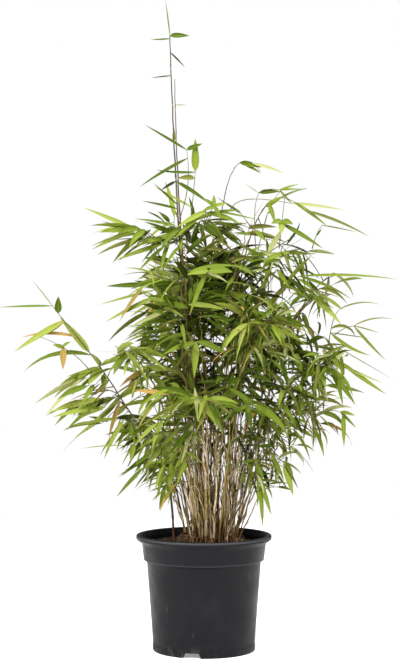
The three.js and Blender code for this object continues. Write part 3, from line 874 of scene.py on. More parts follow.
culm = {
    "radius": (0.0011, 0.0017),
    "tipRadius": 0.0005,
    "bareRadius": (0.0007, 0.0013),
    "bareInset": 0.0016,
    "bareTaper": 0.75,
    "bareBow": 0.003,
    "darkGirth": 1.2,
    "stubGirth": 1.3,
    "footGirth": (1.15, 1.12),  # under the soil and just above it
    "wobble": 0.002,
    "standoutWobble": 0.0004,
    "bowEnds": 0.65,  # how far up a bowed culm is straight again
    "step": 0.012,
    "rooted": 0.005,  # how far the foot runs on under the soil
    "values": {
        "Ring Step": 0.003, "Joint Spacing": 0.052, "Joint Width": 0.0024, "Swelling": 0.28, "Sides": 8,
    },
}
culmPaths = {"culms": [], "darkCulms": [], "leaderCulms": [], "culmStubs": []}
culmNodes = {kind: [] for kind in culmPaths}
kindOfShoot = {"leader": "leaderCulms", "leader_side": "leaderCulms", "left": "darkCulms"}


def culmPath(line, low, high, key, wobble, bow=0.0):  # low and high are the radii at the foot and the tip
    run = (line[1] - line[0]).length + (line[2] - line[1]).length
    count = max(6, round(run / culm["step"]))
    points, radii = [line[0] - slopeAt(line, 0) * culm["rooted"]], [low * culm["footGirth"][0]]
    for i, t in enumerate(shares(count)):
        sway = Vector((between(-1, 1, key, i, 51), between(-1, 1, key, i, 52), 0)) * wobble * min(1, 3 * t)
        bowed = bow * math.sin(math.pi * clamp(t / culm["bowEnds"])) ** 1.5
        points.append(pointAt(line, t) + sway + Vector((bowed, 0, 0)))
        radii.append(mix(low, high, t ** 1.2) * (culm["footGirth"][1] if i == 0 else 1))
    tone = clamp(chance(key, 53) * 1.7 - 0.1)  # more of the dark than of the pale
    return {"points": points, "radius": radii, "tone": tone, "phase": chance(key, 54)}


def bareLine(node):  # an old culm's curve, from the box of its solid: it leans out of the clump
    low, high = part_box(node)
    ends = []
    for axis, centre in ((0, clump["x"]), (1, clump["y"])):
        inset = min(culm["bareInset"], (high[axis] - low[axis]) / 2)
        pair = (low[axis] + inset, high[axis] - inset)
        ends.append(pair if (pair[0] + pair[1]) / 2 > centre else pair[::-1])
    foot, tip = [Vector((ends[0][i], ends[1][i], z)) for i, z in enumerate((low.z, high.z))]
    return foot, foot.lerp(tip, 0.5) + upwards(culm["bareBow"]), tip


for own, shoot in enumerate(shoots):
    kind = kindOfShoot.get(shoot["name"], "culms")
    low = between(*culm["radius"], own, 4) * shoot.get("girth", culm["darkGirth"] if kind != "culms" else 1)
    wobble = culm["wobble"] if own < clump["culms"] else culm["standoutWobble"]
    high = shoot.get("tipRadius", culm["tipRadius"]) * shoot.get("girth", 1)
    culmPaths[kind].append(culmPath(shoot["line"], low, high, own, wobble, shoot.get("bow", 0.0)))
    culmNodes[kind].append("culm_" + shoot["name"])
for key, node in enumerate([n for n in nodeNames if n.startswith(("culm_bare", "culm_stub"))], 200):
    kind = "culmStubs" if "stub" in node else "culms"
    low = between(*culm["bareRadius"], key) * (culm["stubGirth"] if kind == "culmStubs" else 1)
    culmPaths[kind].append(culmPath(bareLine(node), low, low * culm["bareTaper"], key, culm["wobble"]))
    culmNodes[kind].append(node)

# Thin stalks between the culms, which end inside the crown. The leafy ones lean out and carry low leaves.
stalks = {
    "plain": {"count": 74, "height": (0.06, 0.3), "lean": (4, 22), "swerve": 3.1, "out": (0, 0.8)},
    "tall": {"count": 30, "height": (0.3, 0.42), "lean": (3, 10), "swerve": 1.2, "out": (0.4, 0.9)},
    "leafy": {"count": 24, "height": (0.1, 0.18), "lean": (14, 34), "swerve": 0.6, "out": (0.7, 0.95)},
    "radius": (0.0005, 0.0010),
    "taper": 0.5,
    "kink": 0.0026,
    "bow": 0.012,
    "values": {
        "Ring Step": 0.005, "Joint Spacing": 0.034, "Joint Width": 0.002, "Swelling": 0.35, "Sides": 6,
    },
}
culmPaths["thinStalks"], culmNodes["thinStalks"], leafyStalks = [], [], []
stalkSorts = [stalks[name] for name in ("plain", "tall", "leafy") for _ in range(stalks[name]["count"])]
for key, sort in enumerate(stalkSorts, 300):
    angle = key * goldenAngle + between(-0.5, 0.5, key, 61)
    out = mix(*sort["out"], math.sqrt(chance(key, 62)))
    foot = footAt(*inClump(angle, out))
    leanTo = angle + between(-sort["swerve"], sort["swerve"], key, 64)
    lean = math.radians(between(*sort["lean"], key, 63))
    tip = foot + heading(leanTo, math.pi / 2 - lean) * between(*sort["height"], key, 65)
    radius = between(*stalks["radius"], key, 66)
    line = (foot, foot.lerp(tip, 0.5) + upwards(stalks["bow"]), tip)
    culmPaths["thinStalks"].append(culmPath(line, radius, radius * stalks["taper"], key, stalks["kink"]))
    if sort is stalks["leafy"]:
        leafyStalks.append((key, line))

for kind, paths in culmPaths.items():
    shape = stalks["values"] if kind == "thinStalks" else culm["values"]
    values = {**shape, "Material": culmSkin(culmLooks[kind])}
    finishPiece(grown(kind, pathMesh(kind, paths), stems, values), culmNodes[kind])
print("culms made")

sheath = {
    "length": (0.02, 0.05),
    "spacing": 0.038,
    "shift": 0.012,
    "topAbove": 0.16,  # how far above the soil they still cling
    "chance": 0.5,
    "looseness": 1.2,
    "flare": (0.001, 0.009),
    "flaresFrom": 0.45,
    "narrowsFrom": 0.35,
    "wrap": 1.9,
    "steps": 6,
    "lowest": 0.004,
}


def sheathPath(path, start, key):
    length = between(*sheath["length"], key, 71)
    turn = between(0, 2 * math.pi, key, 72)
    flare = between(*sheath["flare"], key, 73)
    points, radii, facing = [], [], []
    for share in shares(sheath["steps"]):
        centre, along, radius = sampled(path, start + length * share)
        side = heading(turn, 0)
        side = (side - along * side.dot(along)).normalized()
        loose = radius * sheath["looseness"]
        out = flare * remapped(share, sheath["flaresFrom"], 1) ** 2
        points.append(centre + side * (loose + out))
        radii.append(loose * sheath["wrap"] * (1 - 0.93 * remapped(share, sheath["narrowsFrom"], 1) ** 1.3))
        facing.append(-side)
    return {"points": points, "radius": radii, "facing": facing, "tone": chance(key, 74)}


def sampled(path, run):  # the place, direction and radius at a distance along a path
    for a, b, low, high in zip(path["points"], path["points"][1:], path["radius"], path["radius"][1:]):
        length = (b - a).length
        if run <= length:
            return a.lerp(b, run / length), (b - a).normalized(), mix(low, high, run / length)
        run -= length
    last, before = path["points"][-1], path["points"][-2]
    return last.copy(), (last - before).normalized(), path["radius"][-1]


sheathPaths = []
for number, path in enumerate(culmPaths["culms"] + culmPaths["culmStubs"] + culmPaths["thinStalks"]):
    run = sum((b - a).length for a, b in zip(path["points"], path["points"][1:]))
    for place in range(int(min(run, sheath["topAbove"]) / sheath["spacing"])):
        key = 1000 + number * 20 + place
        if chance(key, 75) < sheath["chance"]:
            start = sheath["lowest"] + place * sheath["spacing"] + between(0, sheath["shift"], key, 76)
            if start + sheath["length"][1] < run:
                sheathPaths.append(sheathPath(path, start, key))
sheathSkin = papery("paperySheath", (0.72, 0.63, 0.46), (0.28, 0.17, 0.08))
sheathValues = {"Wrap": sheath["wrap"], "Points Across": 7, "Material": sheathSkin}
finishPiece(grown("culmSheaths", pathMesh("culmSheaths", sheathPaths), blades, sheathValues))

roots = {
    "count": 42,
    "out": (0.55, 1.0),
    "swerve": 0.9,
    "reach": (0.008, 0.034),
    "radius": (0.0004, 0.0012),
    "rise": (0.004, 0.018),
    "sink": 0.003,
    "values": {
        "Ring Step": 0.003, "Joint Spacing": 0.009, "Joint Width": 0.001, "Swelling": 0.15, "Sides": 6,
    },
}
rootPaths = []
for key in range(2000, 2000 + roots["count"]):
    angle, out = 2 * math.pi * chance(key, 81), between(*roots["out"], key, 82)
    start = Vector((*inClump(angle, out), soil["top"]))
    turn = angle + between(-roots["swerve"], roots["swerve"], key, 83)
    away = heading(turn, 0) * between(*roots["reach"], key, 84)
    rise = between(*roots["rise"], key, 85)
    radius = between(*roots["radius"], key, 86)
    points, radii = [], []
    for share in shares(7):
        lift = rise * math.sin(math.pi * (0.25 + 0.75 * share)) - roots["sink"] * share
        points.append(start + away * share ** 0.8 + upwards(lift))
        radii.append(radius * mix(1.1, 0.5, share))
    rootPaths.append({"points": points, "radius": radii, "tone": chance(key, 87)})
rootValues = {**roots["values"], "Material": papery("surfaceRoot", (0.26, 0.13, 0.05), (0.012, 0.005, 0.002))}
finishPiece(grown("surfaceRoots", pathMesh("surfaceRoots", rootPaths), stems, rootValues))
print("sheaths and roots made")

leaf = {
    "length": (0.044, 0.08),
    "width": (0.0092, 0.0072),  # at the crown's left side and at its right
    "lengthBySide": (1.06, 0.82),
    "lowBetween": (0.25, 0.42),  # from which height up the leaves have their full size
    "lowLength": (0.8, 0.66),
    "lowWidth": 0.78,
    "widths": (0.72, 1.15),
    "steps": 7,
    "lowPitch": -28,
    "highPitch": 18,
    "sway": 44,
    "swayBySide": (0.72, 1.35),
    "leftwards": 0.3,
    "fan": (20, 84),
    "endFan": (-14, 14),
    "gap": 0.0092,  # from one leaf's root to the next along the twig
    "leastDroop": 3,
    "droop": (30, 80),  # the most degrees that a leaf bends down, at the left side and at the right
    "droopFades": (0.46, 0.54),
    "curl": (12, 60),
    "roll": 75,
    "twist": (25, 100),
    "handRoll": 62,
    "petiole": 0.0005,
    "wrap": 0.55,
    "leastOutline": 0.00003,
    "clearMargin": 0.004,
    "clearBelow": 0.25,
    "clearWidth": 0.08,
    "loosePattern": 15.0,
    "loose": 0.75,
    "hollow": 0.85,
    "edgeFades": (0.6, 1.0),
    "shoulderFades": (0.53, 0.59),
    "ownColour": 0.35,  # the chance that a leaf has its own colour in its spray
}
# Leaf colours. Each is dealt out by four weights: at the crown's outside and inside, its right and its left.
# The brightest kind, dealt to the outside and the left where the light falls, is painted light; the two
# darkest, dealt to the inside, are painted shade.
leafKinds = {
    "bright": {"colours": ((0.225, 0.262, 0.045), (0.19, 0.235, 0.034)), "deal": (4.4, 0.1, 0.15, 1.8)},
    "fresh": {"colours": ((0.156, 0.202, 0.022), (0.13, 0.176, 0.015)), "deal": (5, 0.5, 0.9, 1.3)},
    "mid": {"colours": ((0.11, 0.154, 0.014), (0.086, 0.128, 0.009)), "deal": (4, 3, 1.5, 0.9)},
    "shaded": {"colours": ((0.052, 0.084, 0.003), (0.038, 0.064, 0.002)), "deal": (1.2, 4.5, 1.1, 0.3)},
    "shade": {"colours": ((0.011, 0.018, 0.0008), (0.017, 0.022, 0.001)), "deal": (0, 5.5, 1.1, 0.08)},
    "olive": {"colours": ((0.16, 0.16, 0.03), (0.115, 0.125, 0.022)), "deal": (2, 1.5, 2.2, 0.4),
              "wrap": 1.1},
    "pale": {"colours": ((0.31, 0.32, 0.13), (0.25, 0.27, 0.09)), "deal": (1.6, 0.1, 2.2, 0.9)},
    "yellow": {"colours": ((0.29, 0.18, 0.045), (0.25, 0.19, 0.04)), "deal": (0.4, 0.25, 1, 1)},
}
leftEdge = {"noShade": -0.4, "dry": -0.5, "yellow": 3, "bright": 0.35}  # well lit, and drier low down
leafPaths = {kind: [] for kind in leafKinds}
leafNodes = {kind: set() for kind in leafKinds}
twigPaths = []
# How far the crown's leaves reach to the left and to the right, by height above the ground.
crownSides = [
    (0.18, -0.07, 0.1), (0.22, -0.115, 0.125), (0.27, -0.145, 0.15), (0.33, -0.155, 0.215),
    (0.4, -0.15, 0.24), (0.46, -0.14, 0.21), (0.51, -0.14, 0.165), (0.565, -0.145, 0.13), (0.6, -0.1, 0.03),
    (0.67, -0.06, 0.0),
]
# Where the crown stands open and its stems show: the middle of each hollow and its radius, in millimetres.
hollows = [
    ((58, -105, 372), 46), ((2, -105, 470), 34), ((90, -90, 500), 40), ((-10, -110, 340), 30),
    ((60, 0, 590), 40), ((-70, -90, 430), 30), ((120, -70, 420), 30), ((20, 110, 450), 40),
    ((-60, 90, 350), 35), ((110, 80, 370), 35), ((-76, 0, 505), 22), ((-60, -40, 395), 22),
    ((-92, 0, 440), 20), ((60, 0, 615), 36), ((86, 0, 600), 30), ((34, -20, 615), 18), ((64, -70, 300), 22),
    ((14, -80, 292), 34), ((34, -76, 326), 28), ((-4, -74, 318), 20),
]


def sidesAt(height):
    for (low, left, right), (high, leftAbove, rightAbove) in zip(crownSides, crownSides[1:]):
        if height <= high:
            share = clamp((height - low) / (high - low))
            return mix(left, leftAbove, share), mix(right, rightAbove, share)
    return crownSides[-1][1:]


def kindFor(point, key):  # deals out a spray's colour by its place in the crown: painted light at the outside and the left, painted shade inside
    dx, dy, dz = [(point[i] - crown[axis]) / crown["radius" + axis.upper()] for i, axis in enumerate("xyz")]
    outside = clamp(1.6 * math.sqrt(dx * dx + 0.45 * dy * dy + 0.5 * dz * dz) - 0.6)  # 0 inside, 1 outside
    leftness = clamp(0.3 - dx * 0.8)
    weights = {}
    for kind, look in leafKinds.items():
        outer, inside, right, left = look["deal"]
        weights[kind] = mix(inside, outer, outside) * mix(right, left, leftness)
    if dx < leftEdge["noShade"]:
        weights["shade"] = 0
    if dx < leftEdge["dry"] and dz < 0:
        weights["yellow"] *= leftEdge["yellow"]
        weights["bright"] *= mix(1, leftEdge["bright"], clamp(-dz))
    pick = chance(key, 91) * sum(weights.values())
    for kind, weight in weights.items():
        pick -= weight
        if pick <= 0:
            return kind
    return "mid"


def outline(share):  # half the width along a leaf, as a share of its widest: lance-shaped, with a long point
    return math.sin(math.pi * share ** 0.64) ** 0.9 if 0 < share < 1 else 0.0


def isKeptClear(point):  # at the pot and between the culms' feet, where no leaf hangs
    atFeet = point.z < leaf["clearBelow"] and abs(point.x - clump["x"]) < leaf["clearWidth"] / 2
    return atFeet or isAtPot(point, leaf["clearMargin"])


def rightward(point):  # 0 at the crown's left side, 1 at its right
    return clamp((point.x - crown["x"]) / crown["radiusX"] * 0.7 + 0.5)


def leftwards(angle, share):  # draws a heading towards the left, so that the leaf shows its length
    return angle - share * math.sin(angle - math.pi)


def addLeaf(kind, own, root, angle, pitch, length, width, key, droop=None, roll=None):
    steps = leaf["steps"]
    curl = twist = 0
    if droop is None:  # a leaf not listed one by one
        side = rightward(root)
        least, most = leaf["droop"]
        most = mix(least, mix(most, least, remapped(root.z, *leaf["droopFades"])), side)
        droop = between(leaf["leastDroop"], most, key, 92)
        curl = math.radians(between(-1, 1, key, 93) * mix(*leaf["curl"], side))
        roll = between(-leaf["roll"], leaf["roll"], key, 94)
        twist = math.radians(between(-1, 1, key, 95) * mix(*leaf["twist"], side))
    droop, roll = math.radians(droop), math.radians(roll)
    point = root.copy()
    points, radii, facing = [], [], []
    for share in shares(steps):
        direction = heading(angle + curl * share, pitch - droop * share ** 1.2)
        side = upwards(1).cross(direction)
        side = side.normalized() if side.length > 1e-3 else Vector((1, 0, 0))
        up = direction.cross(side)
        turned = roll + twist * share
        facing.append(up * math.cos(turned) + side * math.sin(turned))
        points.append(point.copy())
        radii.append(max(width / 2 * outline(share), leaf["leastOutline"] if share else leaf["petiole"]))
        point += direction * length / steps
    if any(isKeptClear(p) for p in points):
        return False
    leafPaths[kind].append({"points": points, "radius": radii, "facing": facing, "tone": chance(key, 96)})
    leafNodes[kind].add("foliage_" + shoots[own]["name"])
    return True


def addTwigPath(points, low, high, key):
    radii = [mix(low, high, share) for share in shares(len(points) - 1)]
    twigPaths.append({"points": points, "radius": radii, "tone": chance(key, 97)})


def sagging(base, direction, length, sag=twig["sag"]):  # a twig that leaves straight and then hangs a little
    return [base + direction * (length * share) - upwards(sag * length) * share ** 2 for share in shares(4)]


def keptWithin(tip, luck):  # leaves thin out towards the crown's two sides
    left, right = sidesAt(tip.z)
    middle = (left + right) / 2
    outwards = abs(tip.x - middle) / (right - middle)
    atShoulder = 0.9 * rightward(tip) * remapped(tip.z, *leaf["shoulderFades"])
    thinned = max(remapped(outwards, *leaf["edgeFades"]), atShoulder)
    return tip.z < crownSides[-1][0] and luck > thinned


def isOpen(place, luck):  # the crown has hollows and looser parts between its fuller ones
    if any((place - Vector(centre) / 1000).length < radius / 1000 for centre, radius in hollows):
        return luck < leaf["hollow"]
    return luck < leaf["loose"] * remapped(noise.noise(place * leaf["loosePattern"]), 0.0, 0.35)


# Grows the leaves of one twig, which stays only if it carries one. A free spray may stand in a hollow or past
# the crown's sides.
def addSpray(own, points, radii, count, leafPitch, key, scale, free=False):
    end = points[-1]
    if not free and isOpen(end, chance(key, 88)):
        return 0
    forward = (end - points[-2]).normalized()
    angle = math.atan2(forward.y, forward.x)
    kind, made = kindFor(end, key), 0
    side, low = rightward(end), 1 - remapped(end.z, *leaf["lowBetween"])
    sway = leaf["sway"] * mix(*leaf["swayBySide"], side)
    sideLength, sideWidth = mix(*leaf["lengthBySide"], side), mix(*leaf["width"], side)
    lowLength, lowWidth = mix(1, mix(*leaf["lowLength"], side), low), mix(1, leaf["lowWidth"], low)
    for i in range(count):
        fan = between(*(leaf["fan"] if i else leaf["endFan"]), key, i, 24) * (1 if (i + key) % 2 else -1)
        root = end - forward * (leaf["gap"] * i)
        pitch = math.radians(leafPitch + between(-sway, sway, key, i, 25))
        length = between(*leaf["length"], key, i, 98) * scale * sideLength * lowLength
        width = sideWidth * between(*leaf["widths"], key, i, 99) * scale ** 0.5 * lowWidth
        leafAngle = leftwards(angle + math.radians(fan), leaf["leftwards"] * (1 - side))
        if not free and not keptWithin(root + heading(leafAngle, pitch) * length, chance(key, i, 89)):
            continue
        ownKind = kindFor(end, key * 31 + i) if chance(key, i, 90) < leaf["ownColour"] else kind
        made += addLeaf(ownKind, own, root, leafAngle, pitch, length, width, key * 37 + i)
    if made:
        addTwigPath(points, *radii, key)
    return made


def growTwig(own, rings, j):
    shoot = shoots[own]
    base = rings[j].lerp(rings[j + 1], 0.5)
    along = (rings[j + 1] - rings[j]).normalized()
    height = clamp((base.z - crown["z"] + crown["radiusZ"]) / (2 * crown["radiusZ"]))
    leafPitch = shoot.get("pitch", mix(leaf["lowPitch"], leaf["highPitch"], height))
    side = 1 if (j + own) % 2 else -1
    taper = mix(*twig["taper"], j / (len(rings) - 1))
    for attempt in range(twig["tries"]):
        keys = (own, j, attempt)
        flip = -side if attempt % 2 else side
        angle = shoot["angle"] + flip * math.radians(between(*shoot["fan"], *keys, 21))
        direction = heading(angle, math.radians(between(*twig["rise"], *keys, 22)))
        direction = direction.lerp(along, twig["upright"]).normalized()
        length = shoot["twigLength"] * taper * between(*twig["lengths"], *keys, 23)
        if all(keepsToCell(base + direction * length * share, own) for share in twig["checkedAt"]):
            break
    else:
        return
    key = (own * 64 + j) * 8
    free = "pitch" in shoot
    points = sagging(base, direction, length)
    scale = shoot["leafScale"]
    if not addSpray(own, points, twig["radius"], shoot["twigLeaves"], leafPitch, key, scale, free):
        return
    for n in range(shoot["finer"]):  # finer twigs on this one
        share = (n + 0.4) / (shoot["finer"] + 0.2)
        turn = (1 if (n + j) % 2 else -1) * math.radians(between(*twig["finerTurn"], key, n, 101))
        fine = heading(angle + turn, math.radians(between(*twig["finerRise"], key, n, 102)))
        root = points[0].lerp(points[-1], share)
        finer = sagging(root, fine, length * between(*twig["finerLength"], key, n, 103))
        addSpray(own, finer, twig["fineRadius"], shoot["finerLeaves"], leafPitch, key + n + 1,
                 scale * twig["finerScale"], free)


topLeaves = {
    "rolled": (0.03, 0.055),
    "rolledWidth": 0.0022,
    "rolledDroop": 6,
    "length": (0.05, 0.08),
    "turn": (24, 60),
    "drop": (5, 35),
    "gap": 0.008,
}


def growTop(own):  # a rolled young leaf in line with the shoot, and two beside it
    tip = shoots[own]["line"][2]
    forward = slopeAt(shoots[own]["line"], 1)
    angle, pitch = math.atan2(forward.y, forward.x), math.asin(forward.z)
    key = own * 64 + 63
    scale = shoots[own]["leafScale"]
    rolled = between(*topLeaves["rolled"], key, 111) * scale
    width, droop = topLeaves["rolledWidth"], topLeaves["rolledDroop"]
    addLeaf("pale", own, tip, angle, pitch, rolled, width, key, droop, 0)
    for i in range(1, shoots[own]["tipLeaves"]):
        turn = math.radians(between(*topLeaves["turn"], key, i, 112)) * (1 if i % 2 else -1)
        drop = math.radians(between(*topLeaves["drop"], key, i, 113))
        length = between(*topLeaves["length"], key, i, 114) * scale
        root = tip - forward * topLeaves["gap"] * i
        width = leaf["width"][0] * scale
        addLeaf(kindFor(tip, key), own, root, angle + turn, pitch / 2 - drop, length, width, key + i)
